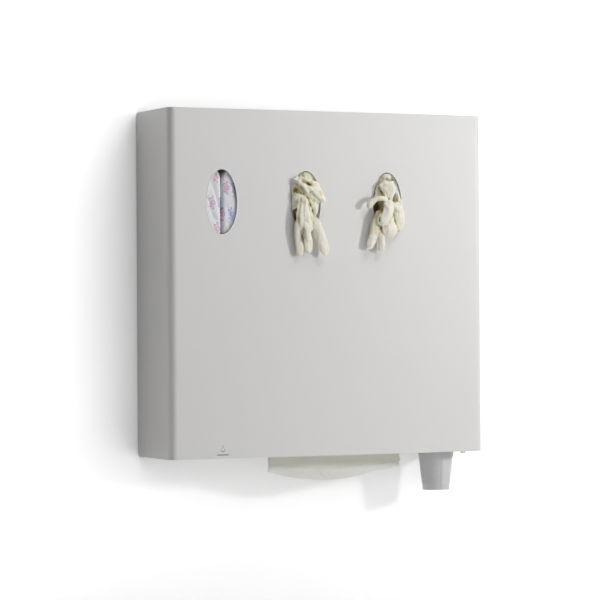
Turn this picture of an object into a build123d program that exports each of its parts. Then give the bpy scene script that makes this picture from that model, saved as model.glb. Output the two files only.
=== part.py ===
from build123d import *
from math import cos, radians, sin
import os

os.makedirs("parts", exist_ok=True)

# Wall cabinet that dispenses gloves, wrapped pads, folded towels and cups.
# Millimetres.  X runs to the right, Y into the wall, Z up.
# The origin is the middle of the wall screw pattern, on the wall.

# Cover and pan
width = 550.0            # cover, left face to right face
height = 545.0           # cover, bottom to top
depth = 138.0            # wall to the cover's front face
sheet = 1.2              # powder-coated steel
bend_radius = 12.0       # outside radius of the cover's upright bends
corner_radius = 8.0      # rounded rear corners of the cover's sides
fold_radius = 2.0        # outside radius of the small folds
wall_gap = 2.6           # wall to the cover's rear edges
flange_depth = 12.0      # return flanges along the cover's top and bottom
flange_drop = 2.0        # cover's edge to the pan's top and bottom plates
side_gap = 1.0           # pan plates to the cover's sides
front_gap = 1.0          # pan plates to the cover's front
seat = 0.2               # clearance of pieces that only stand or hang in place

# Slots for the hands
slot_width = 52.0
slot_height = 102.0
slot_below_top = 145.5   # slot's middle below the cover's top edge

# Hinge at the rear left corner
hinge_inset = 7.0        # pin axis from the cover's left face
hinge_depth = 12.0       # pin axis from the wall
pin_radius = 2.0
pin_fit = 0.05
pin_length_spare = 0.6
pin_head_height = 1.0
pin_head_spare = 1.0     # head's radius past the pin's
lug_radius = 5.2
lug_length = 11.0
washer_thickness = 0.6
sweep_clearance = 0.9    # pan to the arc swept by the cover's sides

# Wall screws
wall_hole_radius = 3.5
wall_hole_inset_x = 75.0 # from the cover's sides
wall_hole_inset_z = 22.5 # from the cover's top and bottom

# Cartons and their shelf
carton_side = 26.5       # cover's left face to the first carton
carton_gap = 19.0        # between two cartons
cup_lane = 110.5         # last carton to the cover's right face
carton_depth = 70.0
carton_height = 240.0
carton_board = 0.8
carton_front_gap = 4.0   # cover sheet to carton front
glove_opening_inset = 3.0  # opening's sides inside the slot's
glove_opening_rise = 3.0 # opening's ends past the slot's
middle_opening_shift = 3.4
pad_opening_width = 88.0
pad_opening_height = 120.0
lip_height = 10.0
lip_gap = 0.3
stop_width = 40.0
stop_height = 25.0
guide_height = 200.0
guide_return = 24.0
guide_corner = 1.0
shelf_flange = 30.0

# Wrapped pads
pad_thickness = 27.6
pad_height = 180.0
pad_depth = 62.0
pad_count = 3
pad_gap = 0.3
pad_corner_share = 0.38  # of the pad's thickness, its upright corners
pad_shoulder_share = 0.3 # of the pad's thickness, its top edges

# Glove packs
pack_gap = 1.5           # to the carton's sides and floor
pack_headroom = 6.0      # to the carton's front, back and top together
pack_corner = 10.0

# Gloves drawn out
pleat_corners = 14       # around each fold, every second one set in
pleat_share = 0.08

# Towels
towel_centre_x = 34.0
towel_length = 231.0
towel_width = 116.0
towel_clearance = 2.0
towel_headroom = 40.0    # stack below the magazine's top
towel_corner = 2.0
magazine_headroom = 42.7 # magazine below the shelf
magazine_lip = 14.0
magazine_lift = 2.4      # magazine above the pan's bottom plate
towel_slot_centre_y = -76.0
towel_slot_width = 36.0
towel_slot_spare = 8.0   # each end of the slot past the towel
leaf_thickness = 0.7
leaf_spread = 4.4        # one leaf to the next
front_leaf_drop = 27.4   # below the cover's bottom edge at the middle
front_leaf_end_drop = 10.0
rear_leaf_drop = 45.0
rear_leaf_end_drop = 23.0
rear_leaf_shift = 1.0    # rear leaves to the right of the front one
leaf_lean = 14.0         # lowest point to the left of the towel's middle
leaf_inside_height = 24.0 # where the leaves are still apart inside the base

# Cups
cup_inset = 52.0         # cups' axis from the cover's right face
cup_y = -70.0
cup_height = 97.0
cup_bottom_radius = 22.2
cup_wall = 0.5
cup_pitch = 9.5
cup_step = 0.9           # stacking shoulder
cup_rim_radius = 35.15
cup_rim_height = 3.0
cup_rim_inner = 33.4
cup_drop = 64.5          # lowest cup below the cover's bottom edge
cup_count = 6
cup_floor_height = 2.0   # recess under the cup's floor
rib_count = 6
rib_depth = 0.25
rib_run = 2.0            # slope below each rib

# Collar and tube that hold the cups
collar_wall = 2.0
collar_bore_gap = 1.2
collar_flange_width = 2.5
collar_flange_thickness = 3.0
finger_count = 8
finger_clearance = 0.1   # fingers to the cup's wall under its rim
finger_thickness = 1.6
finger_slit = 5.0
tube_wall = 1.5
tube_headroom = 47.5     # tube's top below the cover's top edge
clip_height = 18.0
clip_thickness = 1.5
clip_foot = 16.0
clip_base = 40.0
clip_inset = 100.0       # clips from the tube's ends

# Soap unit
pump_side = 15.0         # cover's left face to the pump unit
pump_towel_gap = 27.3    # pump unit to the towel magazine
pump_depth = 96.0
pump_height = 100.0
pump_rear_gap = 14.0
pump_corner = 8.0
pump_edge = 3.0
nozzle_y = -66.0
nozzle_radius = 9.0
nozzle_taper = 30.0      # degrees, its tip below the pan's top face
nozzle_socket = 12.0
nozzle_bore_depth = 10.0
nozzle_bore = 3.0
nozzle_fit = 0.3
sensor_y = -106.0
sensor_width = 22.0
sensor_depth = 10.0
sensor_lip = 2.0
bottle_inset = 10.0      # bottle's sides from the pump unit's
bottle_depth = 88.0
bottle_headroom = 43.1   # bottle below the shelf
bottle_corner = 14.0
bottle_edge = 6.0
neck_y = -56.0
neck_radius = 19.0
neck_height = 16.0
neck_socket_gap = 0.3
neck_end_gap = 1.0
cell_radius = 13.0
cell_length = 50.0
cell_count = 4
cell_gap = 0.3
cell_tip_radius = 3.2
cell_tip_height = 1.4

# Lock
lock_inset = 24.0        # from the cover's right face
lock_y = -112.0
lock_head_radius = 9.0
lock_body_radius = 6.5
lock_body_top = 13.0     # above the pan's bottom plate
lock_fit = 0.05
plug_radius = 4.0
plug_drop = 3.9          # plug tip below the cover's bottom edge
plug_slot_width = 1.4
plug_slot_length = 5.0
plug_slot_depth = 3.0
lock_chamfer = 0.5
nut_radius = 8.6
nut_thickness = 3.0
cam_width = 10.0
cam_reach = 20.0
cam_thickness = 1.8
cam_gap = 0.2
cam_square = 4.6
screw_head_radius = 3.4
screw_head_height = 2.2
screw_slot = 0.9
keeper_gap = 3.0
keeper_width = 12.0
keeper_height = 14.0
keeper_clearance = 3.0   # keeper's lip to the nut's corners

# Rubber buffers between the pan and the cover
buffer_width = 12.0
buffer_length = 9.0
buffer_height = 4.0
buffer_x = 180.0

# Levels and faces that several pieces share
half_width = width / 2
half_height = height / 2
front_y = -depth
inner_front_y = front_y + sheet
floor_low = -half_height + flange_drop
floor_top = floor_low + sheet
roof_low = -floor_top
pan_front_y = inner_front_y + front_gap
hinge_x = -half_width + hinge_inset
hinge_y = -hinge_depth
carton_width = (width - carton_side - 2 * carton_gap - cup_lane) / 3
slot_xs = [-half_width + carton_side + carton_width / 2 + (carton_width + carton_gap) * place for place in range(3)]
slot_z = half_height - slot_below_top
carton_front_y = inner_front_y + carton_front_gap
carton_floor_z = slot_z - carton_height / 2
shelf_low = carton_floor_z - sheet
cup_x = half_width - cup_inset
lock_x = half_width - lock_inset
pump_left = -half_width + pump_side
pump_right = towel_centre_x - towel_length / 2 - towel_clearance - sheet - pump_towel_gap
soap_centre_x = (pump_left + pump_right) / 2


def save(piece, name):
    """Label a finished piece and write it to its own file."""
    piece.part.label = name
    export_step(piece.part, f"parts/{name}.step")


def folded(points, radius):
    """Draw a folded sheet's section: the outer line, thickened to its left."""
    with BuildLine() as outline:
        FilletPolyline(*points, radius=radius)
        offset(amount=sheet, side=Side.LEFT)
    make_face(outline.edges())


def bar(x_range, y_range, z_range, mode=Mode.ADD):
    """Add or cut a plain plate between three pairs of limits."""
    with BuildSketch(Plane.XY.offset(z_range[0])) as section:
        with Locations((sum(x_range) / 2, sum(y_range) / 2)):
            Rectangle(x_range[1] - x_range[0], y_range[1] - y_range[0])
    extrude(section.sketch, amount=z_range[1] - z_range[0], mode=mode)


def oval_cut(centre_x, centre_z, wide, high, from_y, through):
    """Cut an upright oval through a front sheet."""
    with BuildSketch(Plane.XZ.offset(-from_y)) as opening:
        with Locations((centre_x, centre_z)):
            Ellipse(wide / 2, high / 2)
    extrude(opening.sketch, amount=-through, mode=Mode.SUBTRACT)


def lobe(glove_x, across, stations):
    """A gathered fold: pleated ovals lofted across a plane, placed from the slot's top and the cover's front."""
    sections = []
    for station in stations:
        x, y, z, wide, thick = (value * slot_height / 102 for value in station)
        origin = (glove_x + x, front_y + y, slot_z + slot_height / 2 + z)
        with BuildSketch(Plane(origin=origin, x_dir=across.x_dir, z_dir=across.z_dir)) as section:
            outline = []
            for corner in range(pleat_corners):
                reach = 1 - pleat_share * (corner % 2)
                angle = radians(360 / pleat_corners * corner)
                outline.append((wide * reach * cos(angle), thick * reach * sin(angle)))
            Polygon(*outline)
        sections.append(section.sketch)
    loft(sections)


# ---- Cover: one folded sheet with three slots, return flanges and two hinge lugs
with BuildPart() as front_cover:
    with BuildSketch(Plane.XY.offset(-half_height)):
        folded(
            [
                (-half_width, -wall_gap),
                (-half_width, front_y),
                (half_width, front_y),
                (half_width, -wall_gap),
            ],
            bend_radius,
        )
    extrude(amount=height)
    rear_edges = front_cover.edges().filter_by(Axis.X).group_by(Axis.Y)[-1]
    fillet(rear_edges, corner_radius)
    flange_half = half_width - bend_radius
    for flange_z in (-half_height, half_height - sheet):
        bar((-flange_half, flange_half), (front_y, front_y + flange_depth), (flange_z, flange_z + sheet))
        with BuildSketch(Plane.XY.offset(flange_z)):
            with Locations(((-half_width + hinge_x) / 2, hinge_y - lug_length / 2)):
                Rectangle(hinge_inset, lug_length)
            with Locations((hinge_x, hinge_y)):
                Circle(lug_radius)
                Circle(pin_radius + pin_fit, mode=Mode.SUBTRACT)
        extrude(amount=sheet)
    for slot_x in slot_xs:
        oval_cut(slot_x, slot_z, slot_width, slot_height, front_y, sheet)
save(front_cover, "front_cover")

# ---- Keeper: an angle on the cover's right side, whose lip the cam turns in front of
cam_low = floor_top + lock_body_top + cam_gap
cam_high = cam_low + cam_thickness
keeper_lip_y = lock_y + cam_width / 2 + keeper_gap
keeper_left = lock_x + nut_radius + keeper_clearance
with BuildPart() as lock_keeper:
    with BuildSketch(Plane.XY.offset(cam_low - keeper_height / 2)):
        folded(
            [
                (half_width - sheet, keeper_lip_y + keeper_width),
                (half_width - sheet, keeper_lip_y),
                (keeper_left, keeper_lip_y),
            ][::-1],
            fold_radius,
        )
    extrude(amount=keeper_height)
save(lock_keeper, "lock_keeper")

# ---- Rear pan: back, top and bottom folded from one sheet
pan_left_x = -half_width + sheet + side_gap
swept_radius = half_width - sheet - hinge_x - sweep_clearance
notch_x = hinge_x + hinge_depth - sweep_clearance
notch_y = hinge_y
slot_half = towel_length / 2 + towel_slot_spare
collar_bore = cup_rim_radius + collar_bore_gap
collar_radius = collar_bore + collar_wall
with BuildPart() as rear_pan:
    with BuildSketch(Plane.YZ.offset(pan_left_x)):
        folded(
            [
                (pan_front_y, floor_low),
                (0, floor_low),
                (0, -floor_low),
                (pan_front_y, -floor_low),
            ],
            fold_radius,
        )
    extrude(amount=swept_radius + hinge_x - pan_left_x)
    with BuildSketch(Plane.XY.offset(-half_height)):
        with Locations((hinge_x, hinge_y)):
            Circle(swept_radius)
    extrude(amount=height, mode=Mode.INTERSECT)
    front_corners = rear_pan.edges().filter_by(Axis.Z).group_by(Axis.X)[0].sort_by(Axis.Y)[:2]
    fillet(front_corners, bend_radius)
    bar((pan_left_x - sheet, notch_x), (notch_y, sheet), (-half_height, half_height), Mode.SUBTRACT)
    for plate_z in (floor_low, roof_low):
        with BuildSketch(Plane.XY.offset(plate_z)):
            with Locations((hinge_x, hinge_y)):
                Circle(lug_radius)
        extrude(amount=sheet)
        with BuildSketch(Plane.XY.offset(plate_z)):
            with Locations((hinge_x, hinge_y)):
                Circle(pin_radius + pin_fit)
        extrude(amount=sheet, mode=Mode.SUBTRACT)
    with BuildSketch(Plane.XZ):
        with GridLocations(width - 2 * wall_hole_inset_x, height - 2 * wall_hole_inset_z, 2, 2):
            Circle(wall_hole_radius)
    extrude(amount=sheet, mode=Mode.SUBTRACT)
    with BuildSketch(Plane.XY.offset(floor_low)):
        with Locations((towel_centre_x, towel_slot_centre_y)):
            SlotOverall(2 * slot_half, towel_slot_width)
        with Locations((cup_x, cup_y)):
            Circle(collar_radius + seat)
        with Locations((soap_centre_x, nozzle_y)):
            Circle(nozzle_radius + nozzle_fit)
        with Locations((soap_centre_x, sensor_y)):
            SlotOverall(sensor_width + 2 * nozzle_fit, sensor_depth + 2 * nozzle_fit)
        with Locations((lock_x, lock_y)):
            Circle(lock_body_radius + lock_fit)
    extrude(amount=sheet, mode=Mode.SUBTRACT)
save(rear_pan, "rear_pan")

# ---- Hinge pins, headed outside, and the washers between lug and pan
washer_gap = (flange_drop - sheet - washer_thickness) / 2
with BuildPart() as hinge_pins:
    for pin_end in (-1, 1):
        with BuildSketch(Plane.XY.offset(pin_end * half_height)):
            with Locations((hinge_x, hinge_y)):
                Circle(pin_radius + pin_head_spare)
        extrude(amount=pin_end * pin_head_height)
        with BuildSketch(Plane.XY.offset(pin_end * half_height)):
            with Locations((hinge_x, hinge_y)):
                Circle(pin_radius)
        extrude(amount=-pin_end * (flange_drop + sheet + pin_length_spare))
save(hinge_pins, "hinge_pins")

with BuildPart() as hinge_washers:
    for plate_z in (floor_low - washer_thickness, -floor_low):
        with BuildSketch(Plane.XY.offset(plate_z)):
            with Locations((hinge_x, hinge_y)):
                Circle(lug_radius)
                Circle(pin_radius + pin_fit, mode=Mode.SUBTRACT)
        extrude(amount=washer_thickness)
save(hinge_washers, "hinge_washers")

# ---- Rubber buffers under the pan's plates, against the cover's inside
with BuildPart() as cover_buffers:
    for side in (-1, 1):
        for pad_z in (floor_top, roof_low - buffer_height):
            bar(
                (side * buffer_x - buffer_width / 2, side * buffer_x + buffer_width / 2),
                (inner_front_y, inner_front_y + buffer_length),
                (pad_z, pad_z + buffer_height),
            )
save(cover_buffers, "cover_buffers")

# ---- Shelf for the cartons: rear flange, floor, front lip and a stop behind each carton
shelf_left = slot_xs[0] - carton_width / 2 - lip_gap
shelf_right = slot_xs[2] + carton_width / 2 + lip_gap
shelf_front_y = carton_front_y - lip_gap - sheet
stop_y = carton_front_y + carton_depth + lip_gap
with BuildPart() as carton_shelf:
    with BuildSketch(Plane.YZ.offset(shelf_left)):
        folded(
            [
                (shelf_front_y, carton_floor_z + lip_height),
                (shelf_front_y, shelf_low),
                (-sheet, shelf_low),
                (-sheet, shelf_low + shelf_flange),
            ],
            sheet + lip_gap,
        )
    extrude(amount=shelf_right - shelf_left)
    for slot_x in slot_xs:
        bar(
            (slot_x - stop_width / 2, slot_x + stop_width / 2),
            (stop_y, stop_y + sheet),
            (shelf_low, carton_floor_z + stop_height),
        )
save(carton_shelf, "carton_shelf")

# ---- Upright guides beside the cartons: angles at the ends, channels between
guide_low = shelf_low + shelf_flange + lip_gap
guide_front_y = carton_front_y + lip_gap


def guide(name, left_x, right_x, left_leg, right_leg):
    """An upright folded guide whose legs run forward beside the cartons."""
    with BuildPart() as piece:
        bar((left_x, right_x), (-2 * sheet, -sheet), (guide_low, guide_low + guide_height))
        for leg, leg_x in ((left_leg, left_x), (right_leg, right_x - sheet)):
            if leg:
                bar((leg_x, leg_x + sheet), (guide_front_y, -sheet), (guide_low, guide_low + guide_height))
        bends = piece.edges().filter_by(Axis.Z).group_by(Axis.Y)[-1]
        fillet(bends, guide_corner)
    save(piece, name)


guide_clear = carton_width / 2 + 2 * lip_gap
guide("carton_guide_1", slot_xs[0] - guide_clear - sheet, slot_xs[0] - guide_clear + guide_return, True, False)
guide("carton_guide_2", slot_xs[0] + guide_clear, slot_xs[1] - guide_clear, True, True)
guide("carton_guide_3", slot_xs[1] + guide_clear, slot_xs[2] - guide_clear, True, True)
guide("carton_guide_4", slot_xs[2] + guide_clear - guide_return, slot_xs[2] + guide_clear + sheet, False, True)


# ---- Cartons: folded board boxes, each with an oval opening towards its slot
def carton(name, centre_x, opening_x, opening_width, opening_height):
    """A board carton, hollow, with an oval opening in its front."""
    rear_y = carton_front_y + carton_depth
    with BuildPart() as piece:
        bar(
            (centre_x - carton_width / 2, centre_x + carton_width / 2),
            (carton_front_y, rear_y),
            (carton_floor_z, carton_floor_z + carton_height),
        )
        bar(
            (centre_x - carton_width / 2 + carton_board, centre_x + carton_width / 2 - carton_board),
            (carton_front_y + carton_board, rear_y - carton_board),
            (carton_floor_z + carton_board, carton_floor_z + carton_height - carton_board),
            Mode.SUBTRACT,
        )
        oval_cut(opening_x, slot_z, opening_width, opening_height, carton_front_y, carton_board)
    save(piece, name)


glove_opening_width = slot_width - 2 * glove_opening_inset
glove_opening_height = slot_height + 2 * glove_opening_rise
middle_opening_x = slot_xs[1] + middle_opening_shift
carton("pad_carton", slot_xs[0], slot_xs[0], pad_opening_width, pad_opening_height)
carton("glove_carton_middle", slot_xs[1], middle_opening_x, glove_opening_width, glove_opening_height)
carton("glove_carton_right", slot_xs[2], slot_xs[2], glove_opening_width, glove_opening_height)

# ---- Wrapped pads: pillow packs standing on edge in their carton
pad_left_x = slot_xs[0] - carton_width / 2 + carton_board + pad_gap
pad_low_z = carton_floor_z + carton_board
pad_front_y = carton_front_y + carton_board + pad_gap
for pad_number in range(pad_count):
    pad_x = pad_left_x + pad_thickness / 2 + pad_number * (pad_thickness + pad_gap)
    with BuildPart() as wrapped_pad:
        with BuildSketch(Plane.XY.offset(pad_low_z)):
            with Locations((pad_x, pad_front_y + pad_depth / 2)):
                RectangleRounded(pad_thickness, pad_depth, pad_thickness * pad_corner_share)
        extrude(amount=pad_height)
        fillet(wrapped_pad.edges().group_by(Axis.Z)[-1], pad_thickness * pad_shoulder_share)
    save(wrapped_pad, f"wrapped_pad_{pad_number + 1}")

# ---- Packed gloves: a soft block in each glove carton
for pack_name, pack_x in (("glove_pack_middle", slot_xs[1]), ("glove_pack_right", slot_xs[2])):
    pack_half = carton_width / 2 - carton_board - pack_gap
    with BuildPart() as glove_pack:
        with BuildSketch(Plane.XY.offset(carton_floor_z + carton_board)):
            with Locations((pack_x, carton_front_y + carton_depth / 2 + pack_gap)):
                RectangleRounded(2 * pack_half, carton_depth - 2 * carton_board - pack_headroom, pack_corner)
        extrude(amount=carton_height - 2 * carton_board - pack_headroom)
    save(glove_pack, pack_name)

# ---- Gloves drawn through the slots: a crumpled cuff in the slot, a palm and hanging fingers.
# Each station is x, y, z from the slot's top at the cover's front, then half width and half thickness,
# in 102nds of the slot's height.
with BuildPart() as glove_middle:
    neck = [(-3, 5.5, -30, 12, 17), (-3, 0, -29, 13, 19), (-4, -6, -29, 14, 20), (-5, -11, -30, 8, 12)]
    band = [(-26, -8, -8, 3, 3), (-14, -11, -14, 11, 6), (3, -12, -27, 14, 6.5), (19, -11, -41, 10, 5), (29, -8, -47, 3, 2)]
    palm = [(-5, -9, -34, 16, 6), (-8, -10, -62, 15, 7), (-8, -10, -80, 19, 6), (-9, -10, -96, 9, 3)]
    first = [(-20, -10, -74, 6, 3.4), (-21, -8, -96, 7, 4.2), (-19.5, -5.4, -122, 8.2, 5), (-18, -5, -133, 2.5, 2)]
    second = [(-10, -7, -82, 6, 2.4), (-7, -6, -104, 6.6, 2.6), (-4, -5.5, -122, 7.4, 2.6), (-3, -5.5, -127, 2.5, 1.4)]
    third = [(-8, -13, -72, 6, 3), (-4, -15.5, -92, 6.6, 4), (-3, -15.5, -108, 6, 4), (-3, -15, -113, 2, 2)]
    fourth = [(2, -10, -76, 6, 3.4), (12, -11, -100, 7.6, 4.4), (24, -10.5, -123, 8.6, 4.8), (27, -10, -130, 2.5, 2)]
    lobe(slot_xs[1], Plane.XZ, neck)
    lobe(slot_xs[1], Plane.YZ, [(x, y, z, thick, wide) for x, y, z, wide, thick in band])
    for hanging in (palm, first, second, third, fourth):
        lobe(slot_xs[1], Plane.XY, hanging)
save(glove_middle, "glove_middle")

with BuildPart() as glove_right:
    neck = [(-5, 5.5, -24, 9, 15), (-5, 0, -24, 10, 17), (-8, -7, -25, 12, 17), (-10, -13, -28, 9, 10)]
    bow = [(-10, -12, -20, 13, 6), (-11, -13, -32, 11, 7), (-11, -13, -44, 5, 6)]
    lobe_left = [(-46, -9, -59, 3, 2), (-36, -12, -53, 6, 4), (-22, -13, -46, 7, 4), (-11, -13, -43, 5, 5)]
    lobe_right = [(-11, -13, -43, 5, 5), (2, -14, -52, 8, 5), (12, -13, -64, 8, 4.5), (19, -11, -72, 3, 2)]
    centre = [(-11, -13, -42, 6, 6), (-8, -15, -58, 13, 7), (-13, -15, -72, 12, 6), (-24, -13, -84, 6, 4)]
    palm = [(-8, -10, -62, 13, 4), (-9, -11, -82, 23, 6), (-8, -11, -96, 20, 6), (-5, -11, -107, 6, 3)]
    first = [(-30, -11, -82, 5, 3), (-36, -9, -98, 6.5, 4), (-42, -4.8, -116, 8, 4.4), (-43, -4.5, -123, 2.5, 2)]
    second = [(-19, -10, -92, 6, 3), (-22, -11, -108, 6.2, 4), (-24, -10.5, -121, 6, 4), (-24, -10, -127, 2, 2)]
    lobe(slot_xs[2], Plane.XZ, neck)
    for sideways in (lobe_left, lobe_right):
        lobe(slot_xs[2], Plane.YZ, [(x, y, z, thick, wide) for x, y, z, wide, thick in sideways])
    for hanging in (bow, centre, palm, first, second):
        lobe(slot_xs[2], Plane.XY, hanging)
save(glove_right, "glove_right")

# ---- Towel magazine: a channel on the pan's floor with two front lips
magazine_half = towel_length / 2 + towel_clearance
magazine_front = -2 * sheet - towel_width - 2 * towel_clearance
magazine_low = floor_top + magazine_lift
magazine_top = shelf_low - magazine_headroom
with BuildPart() as towel_magazine:
    with BuildSketch(Plane.XY.offset(magazine_low)):
        with BuildLine():
            FilletPolyline(
                (towel_centre_x - magazine_half + magazine_lip, magazine_front - sheet),
                (towel_centre_x - magazine_half - sheet, magazine_front - sheet),
                (towel_centre_x - magazine_half - sheet, -sheet),
                (towel_centre_x + magazine_half + sheet, -sheet),
                (towel_centre_x + magazine_half + sheet, magazine_front - sheet),
                (towel_centre_x + magazine_half - magazine_lip, magazine_front - sheet),
                radius=fold_radius,
            )
            offset(amount=sheet, side=Side.RIGHT)
        make_face()
    extrude(amount=magazine_top - magazine_low)
save(towel_magazine, "towel_magazine")

# ---- Towel stack, cut back at the slot by its own lowest leaves
stack_low = floor_top + seat
stack_centre_y = -2 * sheet - towel_clearance - towel_width / 2
with BuildPart() as towel_stack:
    with BuildSketch(Plane.XY.offset(stack_low)):
        with Locations((towel_centre_x, stack_centre_y)):
            RectangleRounded(towel_length, towel_width, towel_corner)
    extrude(amount=magazine_top - towel_headroom - stack_low)
save(towel_stack, "towel_stack")


# ---- Hanging towel: three leaves, folded at the top in front and at the bottom behind
def leaf_outline(end_drop, middle_drop, lift, shift):
    """A leaf seen from the front: straight top, curved lower edge."""
    left_x = towel_centre_x - towel_length / 2 + shift
    right_x = left_x + towel_length
    top_z = floor_top
    with BuildLine() as outline:
        Polyline(
            (left_x, -half_height - end_drop + lift),
            (left_x, top_z),
            (right_x, top_z),
            (right_x, -half_height - end_drop / 2 + lift),
        )
        ThreePointArc(
            (left_x, -half_height - end_drop + lift),
            ((left_x + right_x) / 2 - leaf_lean, -half_height - middle_drop + lift),
            (right_x, -half_height - end_drop / 2 + lift),
        )
    make_face(outline.edges())


leaf_front_y = towel_slot_centre_y - 3 * leaf_thickness / 2 - leaf_spread
with BuildPart() as hanging_towel:
    with BuildSketch(Plane.XZ.offset(-(leaf_front_y + leaf_thickness))):
        leaf_outline(front_leaf_end_drop, front_leaf_drop, 0, 0)
    extrude(amount=leaf_thickness)
    with BuildSketch(Plane.XZ.offset(-(leaf_front_y + 3 * leaf_thickness + 2 * leaf_spread))):
        leaf_outline(rear_leaf_end_drop, rear_leaf_drop, 0, rear_leaf_shift)
    extrude(amount=2 * leaf_thickness + leaf_spread)
    with BuildSketch(Plane.XZ.offset(-(leaf_front_y + 2 * leaf_thickness + 2 * leaf_spread))):
        leaf_outline(rear_leaf_end_drop, rear_leaf_drop, 1.5 * leaf_thickness, rear_leaf_shift)
        with Locations((towel_centre_x, floor_top)):
            Rectangle(towel_length + 4 * rear_leaf_shift, 1.5 * leaf_thickness)
        with Locations((towel_centre_x, floor_top - leaf_inside_height / 2)):
            Rectangle(towel_length + 4 * rear_leaf_shift, leaf_inside_height)
    extrude(amount=leaf_spread, mode=Mode.SUBTRACT)
    bar(
        (towel_centre_x - towel_length / 2, towel_centre_x + towel_length / 2),
        (leaf_front_y, leaf_front_y + 2 * leaf_thickness + leaf_spread),
        (floor_top - leaf_thickness, floor_top),
    )
save(hanging_towel, "hanging_towel")

# ---- Cups: thin beakers, each standing on the shoulder inside the one below.
# The lowest, which hangs in view, has its ribs; those hidden above it are plain.
cup_low_z = -half_height - cup_drop
finger_top_z = cup_low_z + cup_height - cup_rim_height
taper = (cup_rim_inner - cup_bottom_radius - cup_step) / (cup_height - cup_pitch)


def cup_radius(level):
    """Outer radius at a height above the cup's shoulder."""
    return cup_bottom_radius + cup_step + taper * (level - cup_pitch)


for cup_number in range(cup_count):
    cup_z = cup_low_z + cup_number * cup_pitch
    shown_ribs = rib_count if cup_number == 0 else 0
    ribs = [cup_pitch + (cup_height - 2 * cup_pitch) * rib / rib_count for rib in range(1, shown_ribs + 1)]
    with BuildPart() as cup:
        with BuildSketch(Plane.XZ.offset(-cup_y)):
            with BuildLine():
                outer = [(cup_bottom_radius - cup_wall, 0), (cup_bottom_radius, 0)]
                outer += [(cup_bottom_radius, cup_pitch - cup_wall), (cup_radius(cup_pitch), cup_pitch - cup_wall)]
                for rib in ribs:
                    outer += [(cup_radius(rib) - rib_depth, rib - rib_run), (cup_radius(rib), rib)]
                outer += [(cup_radius(cup_height - cup_rim_height), cup_height - cup_rim_height)]
                outer += [(cup_rim_radius, cup_height - cup_rim_height), (cup_rim_radius, cup_height)]
                inner = [(cup_rim_inner - cup_wall, cup_height), (cup_radius(cup_pitch) - cup_wall, cup_pitch)]
                inner += [(cup_bottom_radius - cup_wall, cup_pitch), (cup_bottom_radius - cup_wall, cup_floor_height)]
                inner += [(0, cup_floor_height), (0, cup_floor_height - cup_wall)]
                inner += [(cup_bottom_radius - cup_wall, cup_floor_height - cup_wall)]
                Polyline(*[(cup_x + r, cup_z + z) for r, z in outer + inner], close=True)
            make_face()
        revolve(axis=Axis((cup_x, cup_y, 0), (0, 0, 1)))
    save(cup, f"cup_{cup_number + 1}")

# ---- Cup collar: sleeve through the floor, flange on it and flexible fingers under the rim
finger_inner = cup_rim_inner + finger_clearance
with BuildPart() as cup_collar:
    with BuildSketch(Plane.XY.offset(-half_height + seat)):
        with Locations((cup_x, cup_y)):
            Circle(collar_radius)
            Circle(collar_bore, mode=Mode.SUBTRACT)
    extrude(amount=finger_top_z + half_height - seat)
    with BuildSketch(Plane.XY.offset(floor_top)):
        with Locations((cup_x, cup_y)):
            Circle(collar_radius + collar_flange_width)
            Circle(collar_bore, mode=Mode.SUBTRACT)
    extrude(amount=collar_flange_thickness)
    with BuildSketch(Plane.XY.offset(finger_top_z - finger_thickness)):
        with Locations((cup_x, cup_y)):
            Circle(collar_bore)
            Circle(finger_inner, mode=Mode.SUBTRACT)
            with PolarLocations((collar_bore + finger_inner) / 2, finger_count):
                Rectangle(2 * (collar_bore - finger_inner), finger_slit, mode=Mode.SUBTRACT)
    extrude(amount=finger_thickness)
save(cup_collar, "cup_collar")

# ---- Cup tube and the two clips that hold it to the pan's back
tube_top = half_height - tube_headroom
with BuildPart() as cup_tube:
    with BuildSketch(Plane.XY.offset(finger_top_z)):
        with Locations((cup_x, cup_y)):
            Circle(collar_radius)
            Circle(collar_radius - tube_wall, mode=Mode.SUBTRACT)
    extrude(amount=tube_top - finger_top_z)
save(cup_tube, "cup_tube")

clip_names = ("tube_clip_lower", "tube_clip_upper")
for clip_name, clip_z in zip(clip_names, (finger_top_z + clip_inset, tube_top - clip_inset)):
    clip_radius = collar_radius + seat + clip_thickness
    with BuildPart() as tube_clip:
        with BuildSketch(Plane.XY.offset(clip_z)):
            with Locations((cup_x, cup_y)):
                Circle(clip_radius)
            with Locations((cup_x, (cup_y - sheet) / 2)):
                Rectangle(clip_foot, -sheet - cup_y)
            with Locations((cup_x, -sheet - clip_thickness / 2)):
                Rectangle(clip_base, clip_thickness)
            with Locations((cup_x, cup_y)):
                Circle(collar_radius + seat, mode=Mode.SUBTRACT)
        extrude(amount=clip_height)
    save(tube_clip, clip_name)

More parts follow.
